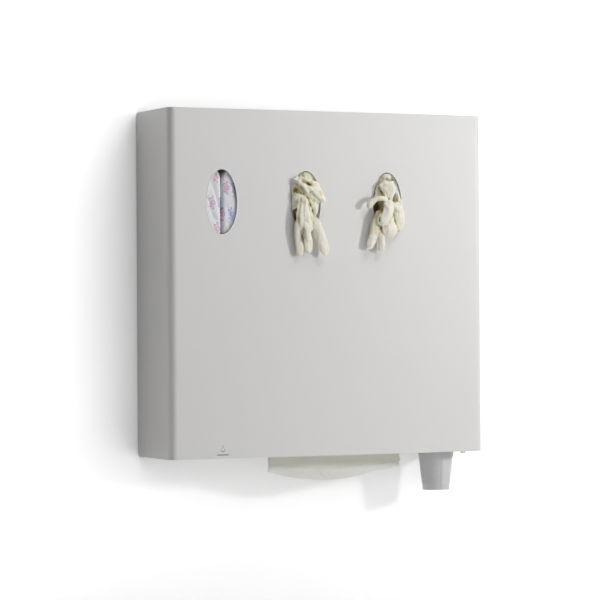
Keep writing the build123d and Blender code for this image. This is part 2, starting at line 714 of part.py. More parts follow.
# ---- Pump unit: a moulded housing with a battery bay in front and a socket for the bottle
pump_rear_y = -sheet - pump_rear_gap
pump_front_y = pump_rear_y - pump_depth
pump_top = floor_top + pump_height
bay_half = cell_count * (cell_radius + cell_gap / 2) + cell_gap
bay_low = floor_top + (pump_height - cell_length - cell_tip_height) / 2
bay_depth = 2 * cell_radius + cell_gap
with BuildPart() as pump_unit:
    with BuildSketch(Plane.XY.offset(floor_top)):
        with Locations((soap_centre_x, (pump_front_y + pump_rear_y) / 2)):
            RectangleRounded(pump_right - pump_left, pump_depth, pump_corner)
    extrude(amount=pump_height)
    fillet(pump_unit.edges().group_by(Axis.Z)[-1], pump_edge)
    bar(
        (soap_centre_x - bay_half, soap_centre_x + bay_half),
        (pump_front_y, pump_front_y + bay_depth),
        (bay_low, bay_low + cell_length + cell_tip_height + 2 * cell_gap),
        Mode.SUBTRACT,
    )
    with BuildSketch(Plane.XY.offset(pump_top - neck_height)):
        with Locations((soap_centre_x, neck_y)):
            Circle(neck_radius + neck_socket_gap)
    extrude(amount=neck_height, mode=Mode.SUBTRACT)
    with BuildSketch(Plane.XY.offset(floor_top)):
        with Locations((soap_centre_x, nozzle_y)):
            Circle(nozzle_radius + nozzle_fit)
    extrude(amount=nozzle_socket, mode=Mode.SUBTRACT)
    with BuildSketch(Plane.XY.offset(floor_top)):
        with Locations((soap_centre_x, sensor_y)):
            SlotOverall(sensor_width + 2 * nozzle_fit, sensor_depth + 2 * nozzle_fit)
    extrude(amount=sensor_lip, mode=Mode.SUBTRACT)
save(pump_unit, "pump_unit")

with BuildPart() as soap_nozzle:
    with BuildSketch(Plane.XY.offset(floor_top + nozzle_socket)):
        with Locations((soap_centre_x, nozzle_y)):
            Circle(nozzle_radius)
    extrude(amount=-nozzle_socket)
    with BuildSketch(Plane.XY.offset(floor_top)):
        with Locations((soap_centre_x, nozzle_y)):
            Circle(nozzle_radius)
    extrude(amount=-(floor_top + half_height), taper=nozzle_taper)
    with BuildSketch(Plane.XY.offset(-half_height)):
        with Locations((soap_centre_x, nozzle_y)):
            Circle(nozzle_bore)
    extrude(amount=nozzle_bore_depth, mode=Mode.SUBTRACT)
save(soap_nozzle, "soap_nozzle")

with BuildPart() as sensor_window:
    with BuildSketch(Plane.XY.offset(floor_low)):
        with Locations((soap_centre_x, sensor_y)):
            SlotOverall(sensor_width, sensor_depth)
    extrude(amount=sheet + sensor_lip)
save(sensor_window, "sensor_window")

# ---- Bottle, upside down with its neck in the pump unit's socket
with BuildPart() as soap_bottle:
    with BuildSketch(Plane.XY.offset(pump_top + seat)):
        with Locations((soap_centre_x, (pump_front_y + pump_rear_y) / 2)):
            RectangleRounded(pump_right - pump_left - 2 * bottle_inset, bottle_depth, bottle_corner)
    extrude(amount=shelf_low - bottle_headroom - pump_top - seat)
    fillet(soap_bottle.edges().group_by(Axis.Z)[-1], bottle_edge)
    fillet(soap_bottle.edges().group_by(Axis.Z)[0], bottle_edge)
    with BuildSketch(Plane.XY.offset(pump_top + seat)):
        with Locations((soap_centre_x, neck_y)):
            Circle(neck_radius)
    extrude(amount=-(neck_height - neck_end_gap))
save(soap_bottle, "soap_bottle")

for cell_number in range(cell_count):
    cell_x = soap_centre_x + (cell_number - (cell_count - 1) / 2) * (2 * cell_radius + cell_gap)
    with BuildPart() as cell:
        with BuildSketch(Plane.XY.offset(bay_low)):
            with Locations((cell_x, pump_front_y + cell_radius)):
                Circle(cell_radius)
        extrude(amount=cell_length)
        with BuildSketch(Plane.XY.offset(bay_low + cell_length)):
            with Locations((cell_x, pump_front_y + cell_radius)):
                Circle(cell_tip_radius)
        extrude(amount=cell_tip_height)
    save(cell, f"battery_{cell_number + 1}")

# ---- Lock: barrel and nut in the pan's floor, plug and cam that turn
lock_top = floor_top + lock_body_top
with BuildPart() as lock_barrel:
    with BuildSketch(Plane.XY.offset(-half_height + seat)):
        with Locations((lock_x, lock_y)):
            Circle(lock_head_radius)
    extrude(amount=floor_low + half_height - seat)
    with BuildSketch(Plane.XY.offset(floor_low)):
        with Locations((lock_x, lock_y)):
            Circle(lock_body_radius)
    extrude(amount=lock_top - floor_low)
    with BuildSketch(Plane.XY.offset(-half_height)):
        with Locations((lock_x, lock_y)):
            Circle(plug_radius + lock_fit)
    extrude(amount=lock_top + half_height, mode=Mode.SUBTRACT)
    chamfer(lock_barrel.edges().group_by(Axis.Z)[0].sort_by(SortBy.LENGTH)[-1:], lock_chamfer)
save(lock_barrel, "lock_barrel")

with BuildPart() as lock_nut:
    with BuildSketch(Plane.XY.offset(floor_top)):
        with Locations((lock_x, lock_y)):
            RegularPolygon(nut_radius, 6)
            Circle(lock_body_radius + lock_fit, mode=Mode.SUBTRACT)
    extrude(amount=nut_thickness)
save(lock_nut, "lock_nut")

with BuildPart() as lock_plug:
    with BuildSketch(Plane.XY.offset(-half_height - plug_drop)):
        with Locations((lock_x, lock_y)):
            Circle(plug_radius)
    extrude(amount=lock_top + cam_gap + half_height + plug_drop)
    chamfer(lock_plug.edges().group_by(Axis.Z)[0], lock_chamfer)
    with BuildSketch(Plane.XY.offset(-half_height - plug_drop)):
        with Locations((lock_x, lock_y)):
            Rectangle(plug_slot_width, plug_slot_length)
    extrude(amount=plug_slot_depth, mode=Mode.SUBTRACT)
    with BuildSketch(Plane.XY.offset(cam_low)):
        with Locations((lock_x, lock_y)):
            Rectangle(cam_square, cam_square)
    extrude(amount=cam_thickness)
save(lock_plug, "lock_plug")

with BuildPart() as lock_cam:
    with BuildSketch(Plane.XY.offset(cam_low)):
        with Locations((lock_x, lock_y - cam_reach / 2 + cam_width / 4)):
            SlotOverall(cam_reach + cam_width / 2, cam_width, rotation=90)
        with Locations((lock_x, lock_y)):
            Rectangle(cam_square, cam_square, mode=Mode.SUBTRACT)
    extrude(amount=cam_thickness)
save(lock_cam, "lock_cam")

with BuildPart() as cam_screw:
    with BuildSketch(Plane.XY.offset(cam_high)):
        with Locations((lock_x, lock_y)):
            Circle(screw_head_radius)
            Rectangle(screw_slot, 2 * screw_head_radius, mode=Mode.SUBTRACT)
    extrude(amount=screw_head_height)
    with BuildSketch(Plane.XY.offset(cam_high)):
        with Locations((lock_x, lock_y)):
            Circle(screw_head_radius)
    extrude(amount=screw_head_height / 2)
save(cam_screw, "cam_screw")
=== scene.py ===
import math

import bpy
import numpy as np
from mathutils import Matrix, Vector


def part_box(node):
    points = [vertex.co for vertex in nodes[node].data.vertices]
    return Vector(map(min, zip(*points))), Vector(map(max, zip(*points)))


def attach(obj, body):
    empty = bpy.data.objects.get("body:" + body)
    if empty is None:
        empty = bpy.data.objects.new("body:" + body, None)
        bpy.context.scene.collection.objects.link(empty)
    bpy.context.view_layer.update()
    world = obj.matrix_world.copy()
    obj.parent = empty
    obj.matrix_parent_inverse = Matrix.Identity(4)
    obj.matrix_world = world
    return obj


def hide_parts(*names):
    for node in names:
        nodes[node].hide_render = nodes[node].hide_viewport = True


# Wall cabinet for gloves, wrapped pads, towels and cups: finishes, soft pieces, studio.
# The frame is the CAD's, in metres: X right, Y into the wall, Z up. Pieces are drawn in millimetres and
# multiplied by mm.

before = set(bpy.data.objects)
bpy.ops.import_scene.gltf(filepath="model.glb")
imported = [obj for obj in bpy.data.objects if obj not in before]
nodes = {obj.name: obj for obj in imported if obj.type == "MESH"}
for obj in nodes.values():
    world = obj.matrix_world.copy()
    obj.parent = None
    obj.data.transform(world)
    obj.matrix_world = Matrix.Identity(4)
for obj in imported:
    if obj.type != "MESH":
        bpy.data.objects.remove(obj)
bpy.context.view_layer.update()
scene = bpy.context.scene
mm = 0.001


def srgb(hexText):
    # sRGB hex to linear: the low part is divided by 12.92, the rest is a 2.4 power curve
    channels = np.array([int(hexText[i:i + 2], 16) / 255 for i in (0, 2, 4)])
    linear = np.where(channels <= 0.04045, channels / 12.92, ((channels + 0.055) / 1.055) ** 2.4)
    return (*[float(v) for v in linear], 1.0)


def addNode(tree, kind, settings=None, links=None, stops=()):
    # kind is the node's type without ShaderNode before it; a key that is a property of the node is set on it,
    # any other is an input socket; stops fill a colour ramp
    node = tree.nodes.new("ShaderNode" + kind)
    for key, value in (settings or {}).items():
        if isinstance(key, str) and hasattr(node, key):
            setattr(node, key, value)
        else:
            node.inputs[key].default_value = value
    for socket, source in (links or {}).items():
        tree.links.new(source, node.inputs[socket])
    if stops:
        elements = node.color_ramp.elements
        while len(elements) < len(stops):
            elements.new(0.5)
        for element, (position, hexText) in zip(elements, stops):
            element.position = position
            element.color = srgb(hexText)
    return node


def newMaterial(name):
    # a material, its empty node tree, and the object's own coordinates, which most patterns follow
    material = bpy.data.materials.new(name)
    material.use_nodes = True
    tree = material.node_tree
    tree.nodes.clear()
    return material, tree, addNode(tree, "TexCoord").outputs["Object"]


def finishSurface(tree, settings, colour, height, depth):
    # every surface ends alike: a relief of a real depth in millimetres, and a shader that takes the colour
    bump = addNode(tree, "Bump", {"Strength": 1.0, "Distance": depth * mm}, {"Height": height})
    shader = addNode(tree, "BsdfPrincipled", settings,
                     {"Base Color": colour, "Normal": bump.outputs[0]})
    addNode(tree, "OutputMaterial", links={"Surface": shader.outputs[0]})


def meshObject(name, points, *faceSets, smooth=True):
    # points (n, 3) and sets of faces (m, corners), written as whole arrays
    mesh = bpy.data.meshes.new(name)
    points = np.asarray(points, np.float32)
    corners = np.concatenate([np.asarray(faces, np.int32).ravel() for faces in faceSets])
    sizes = np.concatenate([np.full(len(faces), np.shape(faces)[1], np.int32) for faces in faceSets])
    mesh.vertices.add(len(points))
    mesh.vertices.foreach_set("co", points.ravel())
    mesh.loops.add(len(corners))
    mesh.loops.foreach_set("vertex_index", corners)
    mesh.polygons.add(len(sizes))
    mesh.polygons.foreach_set("loop_start", np.r_[0, np.cumsum(sizes)[:-1]].astype(np.int32))
    mesh.update(calc_edges=True)
    mesh.validate()
    if smooth:
        mesh.shade_smooth()
    piece = bpy.data.objects.new(name, mesh)
    scene.collection.objects.link(piece)
    return piece


def gridFaces(rows, columns, wrap=False):
    # quads of a rows x columns grid, the columns joined round where wrap is true
    i, j = np.meshgrid(np.arange(rows - 1), np.arange(columns if wrap else columns - 1), indexing="ij")
    k = (j + 1) % columns
    quads = np.stack([i * columns + j, i * columns + k, (i + 1) * columns + k, (i + 1) * columns + j], -1)
    return quads.reshape(-1, 4)


def hoopFaces(rows, columns):
    # quads of a grid that is joined round both ways
    return gridFaces(rows + 1, columns, wrap=True) % (rows * columns)


def closedTube(name, points, rows, columns):
    # rings of points joined to a tube, its ends closed by triangles to the last two points
    ring = np.arange(columns)
    after = (ring + 1) % columns
    count = rows * columns
    last = count - columns
    lowEnd = np.stack([after, ring, np.full(columns, count)], 1)
    highEnd = np.stack([last + ring, last + after, np.full(columns, count + 1)], 1)
    return meshObject(name, points, gridFaces(rows, columns, wrap=True), lowEnd, highEnd)


def meshValues(items, name, width, kind=float):
    # one property of all of a mesh's items as an array
    values = np.zeros(len(items) * width, kind)
    items.foreach_get(name, values)
    return values.reshape(-1, width)


def meshArrays(piece):
    mesh = piece.data
    return (meshValues(mesh.vertices, "co", 3), meshValues(mesh.vertices, "normal", 3),
            meshValues(mesh.edges, "vertices", 2, int))


def applyModifiers(piece):
    # the evaluated mesh becomes the piece's own, and its modifiers go
    evaluated = piece.evaluated_get(bpy.context.evaluated_depsgraph_get())
    mesh = bpy.data.meshes.new_from_object(evaluated)
    piece.modifiers.clear()
    piece.data = mesh


def flipOutward(piece):
    # a closed surface whose signed volume is negative is inside out
    mesh = piece.data
    mesh.calc_loop_triangles()
    triangles = meshValues(mesh.loop_triangles, "vertices", 3, int)
    a, b, c = meshValues(mesh.vertices, "co", 3)[triangles].transpose(1, 0, 2)
    if np.sum(a * np.cross(b, c)) < 0:
        mesh.flip_normals()
    return piece


def pointAttribute(piece, name, values):
    attribute = piece.data.attributes.new(name, "FLOAT", "POINT")
    attribute.data.foreach_set("value", np.asarray(values, np.float32))


def smoothCurve(points, count):
    # a Catmull-Rom curve through the points, sampled evenly in its parameter
    points = np.asarray(points, float)
    padded = np.vstack([2 * points[0] - points[1], points, 2 * points[-1] - points[-2]])
    t = np.linspace(0, len(points) - 1, count)
    i = np.minimum(t.astype(int), len(points) - 2)
    u = (t - i)[:, None]
    p0, p1, p2, p3 = padded[i], padded[i + 1], padded[i + 2], padded[i + 3]
    return 0.5 * (2 * p1 + (p2 - p0) * u + (2 * p0 - 5 * p1 + 4 * p2 - p3) * u ** 2
                  + (3 * p1 - p0 - 3 * p2 + p3) * u ** 3)


def latticeValue(corners, seed):
    # a number from 0 to 1 for each whole-number point, the same at each run: its bits mixed by large primes
    x, y, z = corners.T
    mixed = (x * 73856093) ^ (y * 19349663) ^ (z * 83492791) ^ (seed * 2654435761)
    mixed = (mixed ^ (mixed >> 13)) * 1274126177 & 0x7fffffff
    return ((mixed ^ (mixed >> 16)) & 0xffff) / 65535


def latticeNoise(points, seed):
    # value noise from -1 to 1: the lattice's numbers, blended by smooth steps between a cell's eight corners
    cell = np.floor(points).astype(np.int64)
    part = points - cell
    part = part * part * (3 - 2 * part)
    total = np.zeros(len(points))
    for corner in range(8):
        offset = np.array([(corner >> axis) & 1 for axis in range(3)])
        total += np.prod(np.where(offset == 1, part, 1 - part), axis=1) * latticeValue(cell + offset, seed)
    return total * 2 - 1


def facetNoise(points, seed):
    # the same numbers, blended flatly over the six tetrahedra of each cell: flat facets, sharp creases
    corner = np.floor(points).astype(np.int64)
    part = points - corner
    order = np.argsort(-part, axis=1)
    total, before = np.zeros(len(points)), np.ones(len(points))
    rows = np.arange(len(points))
    for axis in order.T:
        after = part[rows, axis]
        total += latticeValue(corner, seed) * (before - after)
        corner[rows, axis] += 1
        before = after
    return (total + latticeValue(corner, seed) * before) * 2 - 1


def relaxed(points, edges, rounds, factor=0.5):
    # each round moves every point towards the mean of its neighbours
    a, b = edges.T
    count = np.bincount(np.r_[a, b], minlength=len(points))[:, None].clip(1)
    for _ in range(rounds):
        total = np.stack([np.bincount(np.r_[a, b], np.r_[points[b, k], points[a, k]], len(points))
                          for k in range(3)], 1)
        points = points + factor * (total / count - points)
    return points


def walled(surface, thickness):
    # a wall on both sides of a grid of points, closed all round by strips of quads
    rows, columns = surface.shape[:2]
    normal = np.cross(np.gradient(surface, axis=0), np.gradient(surface, axis=1))
    normal /= np.linalg.norm(normal, axis=2)[..., None] + 1e-9
    step = normal * thickness / 2
    loop = np.concatenate([surface + step, (surface - step)[:, ::-1]], axis=1)
    k, last = np.arange(columns - 1), (rows - 1) * 2 * columns
    strip = np.stack([k, k + 1, 2 * columns - 2 - k, 2 * columns - 1 - k], 1)
    faces = [gridFaces(rows, 2 * columns, wrap=True), strip, last + strip[:, ::-1]]
    return loop.reshape(-1, 3), np.concatenate(faces)


def smoothSurface(net, rows, columns):
    # smooth curves along the net's lines, then smooth curves across those
    lines = np.array([smoothCurve(line, columns) for line in net])
    return np.array([smoothCurve(lines[:, j], rows) for j in range(columns)]).transpose(1, 0, 2)


studio = dict(
    cameraAt=(-1.86089, -3.98782, -0.05341),  # eye, about 4.4 m from the cabinet
    cameraAzimuth=25.153,     # degrees to the left of straight on
    cameraRise=-0.367,        # degrees, the eye a little below the aim
    cameraRoll=-0.377,
    lens=162.0,               # mm on a 36 mm sensor
    half=3.0,                 # half the width of wall and floor
    floorDrop=0.60,           # floor below the origin
    wallGap=0.0015,           # wall behind the cabinet's back
    lights={                  # place, aim, diameter, watts
        "key": ((1.75, -1.75, 0.30), (0, -0.1, 0.05), 0.28, 22.5),
        "overhead": ((0.4, -0.9, 1.45), (0, -0.05, 0), 1.0, 11),
        "fill": ((-0.3, -1.3, -0.7), (-0.12, -0.138, -0.15), 0.8, 2.4),
    },
    skyLight=0.15,            # what the white surroundings give as light, of the 1 that the eye sees
    wallGlow=(0.26, 0.92),    # in the corner beside the cabinet, and where the wall is free
    floorGlow=(0.7, 0.9),
    glowReach=0.45,           # how far the cabinet shades the glow
    liftFrom=-0.26, liftTo=-0.34, lift=0.13,   # more glow below these heights
)


def placeCamera():
    # the view direction from azimuth and rise, then the roll about it
    azimuth, rise, roll = (math.radians(studio[k]) for k in ("cameraAzimuth", "cameraRise", "cameraRoll"))
    back = Vector((-math.sin(azimuth) * math.cos(rise), -math.cos(azimuth) * math.cos(rise), math.sin(rise)))
    right = (-back).cross(Vector((0, 0, 1))).normalized()
    up = right.cross(-back)
    turnedRight = math.cos(roll) * right + math.sin(roll) * up
    turnedUp = math.cos(roll) * up - math.sin(roll) * right
    data = bpy.data.cameras.new("camera")
    data.lens = studio["lens"]
    data.sensor_width = 36
    data.clip_end = 50
    camera = bpy.data.objects.new("camera", data)
    turn = Matrix((turnedRight, turnedUp, back)).transposed().to_4x4()
    camera.matrix_world = Matrix.Translation(studio["cameraAt"]) @ turn
    scene.collection.objects.link(camera)
    scene.camera = camera


def placeLights():
    # round area lights, each turned towards its aim
    for name, (at, aim, size, watts) in studio["lights"].items():
        data = bpy.data.lights.new(name, "AREA")
        data.shape = "DISK"
        data.size = size
        data.energy = watts
        lamp = bpy.data.objects.new(name, data)
        lamp.location = at
        lamp.rotation_euler = (Vector(aim) - Vector(at)).to_track_quat("-Z", "Y").to_euler()
        scene.collection.objects.link(lamp)


def seenBy(tree, *rays):
    # 1 for the kinds of ray named, 0 for others
    path = addNode(tree, "LightPath")
    seen = path.outputs[rays[0]]
    for ray in rays[1:]:
        both = addNode(tree, "Math", {"operation": "MAXIMUM"}, {0: seen, 1: path.outputs[ray]})
        seen = both.outputs[0]
    return seen


def backdropMaterial(name, glowAtCorner, glowInOpen):
    # matt white paint, clear from behind; for the eye alone it also glows, less where the cabinet closes off
    # its view of the room
    material, tree, place = newMaterial(name)
    matt = addNode(tree, "BsdfDiffuse", {"Color": srgb("efefef"), "Roughness": 0.6})
    seen = seenBy(tree, "Is Camera Ray", "Is Glossy Ray", "Is Transmission Ray")
    openness = addNode(tree, "AmbientOcclusion", {"samples": 16, "Distance": studio["glowReach"]})
    # half open is the corner between wall and cabinet, fully open is the free wall
    glow = addNode(tree, "MapRange",
                   {"From Min": 0.5, "From Max": 1.0, "To Min": glowAtCorner, "To Max": glowInOpen,
                    "clamp": True},
                   {"Value": openness.outputs["AO"]})
    height = addNode(tree, "SeparateXYZ", links={0: place})
    under = addNode(tree, "MapRange",
                    {"From Min": studio["liftFrom"], "From Max": studio["liftTo"], "To Min": 0.0,
                     "To Max": studio["lift"], "clamp": True, "interpolation_type": "SMOOTHSTEP"},
                    {"Value": height.outputs["Z"]})
    lifted = addNode(tree, "Math", {"operation": "ADD"}, {0: glow.outputs[0], 1: under.outputs[0]})
    strength = addNode(tree, "Math", {"operation": "MULTIPLY"}, {0: seen, 1: lifted.outputs[0]})
    light = addNode(tree, "Emission", {"Color": (1, 1, 1, 1)}, {"Strength": strength.outputs[0]})
    front = addNode(tree, "AddShader", links={0: matt.outputs[0], 1: light.outputs[0]})
    clear = addNode(tree, "BsdfTransparent")
    side = addNode(tree, "NewGeometry")
    shader = addNode(tree, "MixShader",
                     links={0: side.outputs["Backfacing"], 1: front.outputs[0], 2: clear.outputs[0]})
    addNode(tree, "OutputMaterial", links={"Surface": shader.outputs[0]})
    return material


def buildWorld():
    # white all round for the eye, and a weak light for the surfaces
    world = bpy.data.worlds.new("studio")
    world.use_nodes = True
    tree = world.node_tree
    tree.nodes.clear()
    seen = seenBy(tree, "Is Camera Ray", "Is Transmission Ray")
    least = studio["skyLight"]
    strength = addNode(tree, "Math", {"operation": "MULTIPLY_ADD", 1: 1 - least, 2: least}, {0: seen})
    sky = addNode(tree, "Background", {"Color": (1, 1, 1, 1)}, {"Strength": strength.outputs[0]})
    addNode(tree, "OutputWorld", links={"Surface": sky.outputs[0]})
    scene.world = world


def buildBackdrop():
    half, drop, behind = studio["half"], studio["floorDrop"], studio["wallGap"]
    wallPoints = [(-half, behind, -drop), (half, behind, -drop), (half, behind, half), (-half, behind, half)]
    wall = meshObject("studio_wall", wallPoints, [(0, 1, 2, 3)], smooth=False)
    wall.data.materials.append(backdropMaterial("wall paint", *studio["wallGlow"]))
    floorPoints = [(-half, -half, -drop), (half, -half, -drop), (half, half, -drop), (-half, half, -drop)]
    floor = meshObject("studio_floor", floorPoints, [(0, 1, 2, 3)], smooth=False)
    floor.data.materials.append(backdropMaterial("floor paint", *studio["floorGlow"]))


scene.view_settings.view_transform = "Standard"
placeCamera()
placeLights()
buildWorld()
buildBackdrop()
print("studio built")


# Kinds of even surface: size and depth of the grain and size of the slow drift of colour in millimetres, how
# much darker the drift gets or its other colour, and the shader's settings.
# polyester powder coat on steel: satin, with the slight orange peel of melted powder, which is really about
# 1.5 mm across and drawn at 2.4 mm so that it shows
powder = dict(grain=2.4, depth=0.025, drift=300, fade=0.03, settings={"IOR": 1.5})
# electro-galvanised steel sheet: soft grey metal with a faint rolled grain
galvanised = dict(grain=3.0, depth=0.02, drift=20, fade=0.12, settings={"Metallic": 1.0})
# coated folding boxboard: pale lavender-grey over a faint fibre mottle
boxboard = dict(grain=1.2, depth=0.02, drift=20, other="d6d2e0", settings={"IOR": 1.45})
# moulded or extruded plastic and rubber: fine spark texture from the tool, even colour
moulded = dict(grain=0.5, depth=0.01, drift=50, fade=0.04, settings={"IOR": 1.5})
# turned and plated steel: fine grain, tone drifting along the part
turned = dict(grain=0.6, depth=0.006, drift=10, fade=0.1, settings={"Metallic": 1.0})


def evenSurface(name, hexText, roughness, kind, transmission=0.0):
    # one colour that drifts slowly, with a bump grain of a real size
    material, tree, place = newMaterial(name)
    grain = addNode(tree, "TexNoise",
                    {"Scale": 1 / (kind["grain"] * mm), "Detail": 3.0, "Roughness": 0.55}, {"Vector": place})
    drift = addNode(tree, "TexNoise", {"Scale": 1 / (kind["drift"] * mm), "Detail": 2.0},
                    {"Vector": place})
    base = srgb(hexText)
    other = srgb(kind["other"]) if "other" in kind else (*[c * (1 - kind["fade"]) for c in base[:3]], 1.0)
    colour = addNode(tree, "Mix", {"data_type": "RGBA", 6: base, 7: other},
                     {"Factor": drift.outputs["Fac"]})
    settings = {**kind["settings"], "Roughness": roughness, "Transmission Weight": transmission}
    finishSurface(tree, settings, colour.outputs[2], grain.outputs["Fac"], kind["depth"])
    return material


def paint(starts, material):
    # the material goes on every node whose name starts so
    for name, node in nodes.items():
        if name.startswith(starts):
            node.data.materials.clear()
            node.data.materials.append(material)


board = evenSurface("carton board", "e6e2ee", 0.6, boxboard)
paint(("pad_carton", "glove_carton_"), board)
# colour, roughness, kind, transmission where light passes, and the nodes of each finish
finishes = {
    "powder coat": ("e8e7e5", 0.42, powder, 0.0, ("front_cover", "rear_pan")),
    "zinc plated sheet": ("b9bdc0", 0.38, galvanised, 0.0,
                          ("carton_", "towel_magazine", "lock_keeper", "tube_clip_")),
    "collar polyamide": ("36373a", 0.5, moulded, 0.0, ("cup_collar",)),
    "pump ABS": ("dcdcd8", 0.45, moulded, 0.0, ("pump_unit", "soap_nozzle")),
    "bottle HDPE": ("e6e9e8", 0.35, moulded, 0.2, ("soap_bottle",)),
    "tube PVC": ("d3d6d8", 0.25, moulded, 0.35, ("cup_tube",)),
    "sensor acrylic": ("140f18", 0.12, moulded, 0.0, ("sensor_window",)),
    "buffer EPDM": ("1b1b1c", 0.7, moulded, 0.0, ("cover_buffers",)),
    "washer nylon": ("e2dfd2", 0.5, moulded, 0.0, ("hinge_washers",)),
    "cell jacket PVC": ("2b2d30", 0.3, moulded, 0.0, ("battery_",)),
    "lock chrome": ("c9cbce", 0.22, turned, 0.0, ("lock_barrel", "lock_nut")),
    "lock plug chrome": ("d2d3d5", 0.32, turned, 0.0, ("lock_plug",)),
    "lock steel": ("4a4b4e", 0.4, turned, 0.0, ("lock_cam", "cam_screw")),
    "pin steel": ("9c9da0", 0.35, turned, 0.0, ("hinge_pins",)),
}
for name, (hexText, roughness, kind, transmission, starts) in finishes.items():
    paint(starts, evenSurface(name, hexText, roughness, kind, transmission))
print("finishes set")


cover = dict(frontY=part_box("front_cover")[0].y, slotTop=178 * mm, slotXs=(-186 * mm, -42 * mm, 102 * mm))


def latexMaterial():
    # natural rubber latex film: ivory and slightly translucent; yellow to brown where it lies in deep folds,
    # partly the tint of layered film and mostly painted shade
    material, tree, place = newMaterial("natural latex")
    # the foldShade attribute darkens the colour in hollows, behind the cover and at listed spots: painted
    # shade
    foldShade = addNode(tree, "Attribute", {"attribute_name": "foldShade"})
    cloud = addNode(tree, "TexNoise", {"Scale": 1 / (9 * mm), "Detail": 3.0}, {"Vector": place})
    # the clouds shift the depth by up to 0.08 either way
    shifted = addNode(tree, "Math", {"operation": "MULTIPLY_ADD", 1: 0.16, 2: -0.08},
                      {0: cloud.outputs["Fac"]})
    depth = addNode(tree, "Math", {"operation": "ADD", "use_clamp": True},
                    {0: foldShade.outputs["Fac"], 1: shifted.outputs[0]})
    stops = ((0.0, "f1eee0"), (0.15, "dfdabb"), (0.4, "bcb076"), (0.7, "7d6a30"), (1.0, "40300f"))
    ramp = addNode(tree, "ValToRGB", links={"Fac": depth.outputs[0]}, stops=stops)
    grain = addNode(tree, "TexNoise",
                    {"Scale": 1 / (3.2 * mm), "Detail": 5.0, "Roughness": 0.62, "Distortion": 0.8},
                    {"Vector": place})
    settings = {"Roughness": 0.48, "IOR": 1.45, "Subsurface Weight": 0.35,
                "Subsurface Radius": (1.0, 0.75, 0.4), "Subsurface Scale": 2.5 * mm}
    finishSurface(tree, settings, ramp.outputs["Color"], grain.outputs["Fac"], 0.13)
    return material


def packedLatex():
    # gloves pressed flat into their carton: the same film in many folds that run across the pack
    material, tree, place = newMaterial("packed latex")
    pressed = addNode(tree, "Mapping", {"Scale": (1, 1, 2.4)}, {"Vector": place})
    folds = addNode(tree, "TexNoise", {"Scale": 1 / (16 * mm), "Detail": 5.0, "Distortion": 1.4},
                    {"Vector": pressed.outputs[0]})
    # the darker olive where the folds sink is painted shade in the creases
    ramp = addNode(tree, "ValToRGB", links={"Fac": folds.outputs["Fac"]},
                   stops=((0.38, "8a7940"), (0.6, "e6e1c6")))
    settings = {"Roughness": 0.5, "IOR": 1.45, "Subsurface Weight": 0.2, "Subsurface Scale": 2 * mm}
    finishSurface(tree, settings, ramp.outputs["Color"], folds.outputs["Fac"], 1.5)
    return material


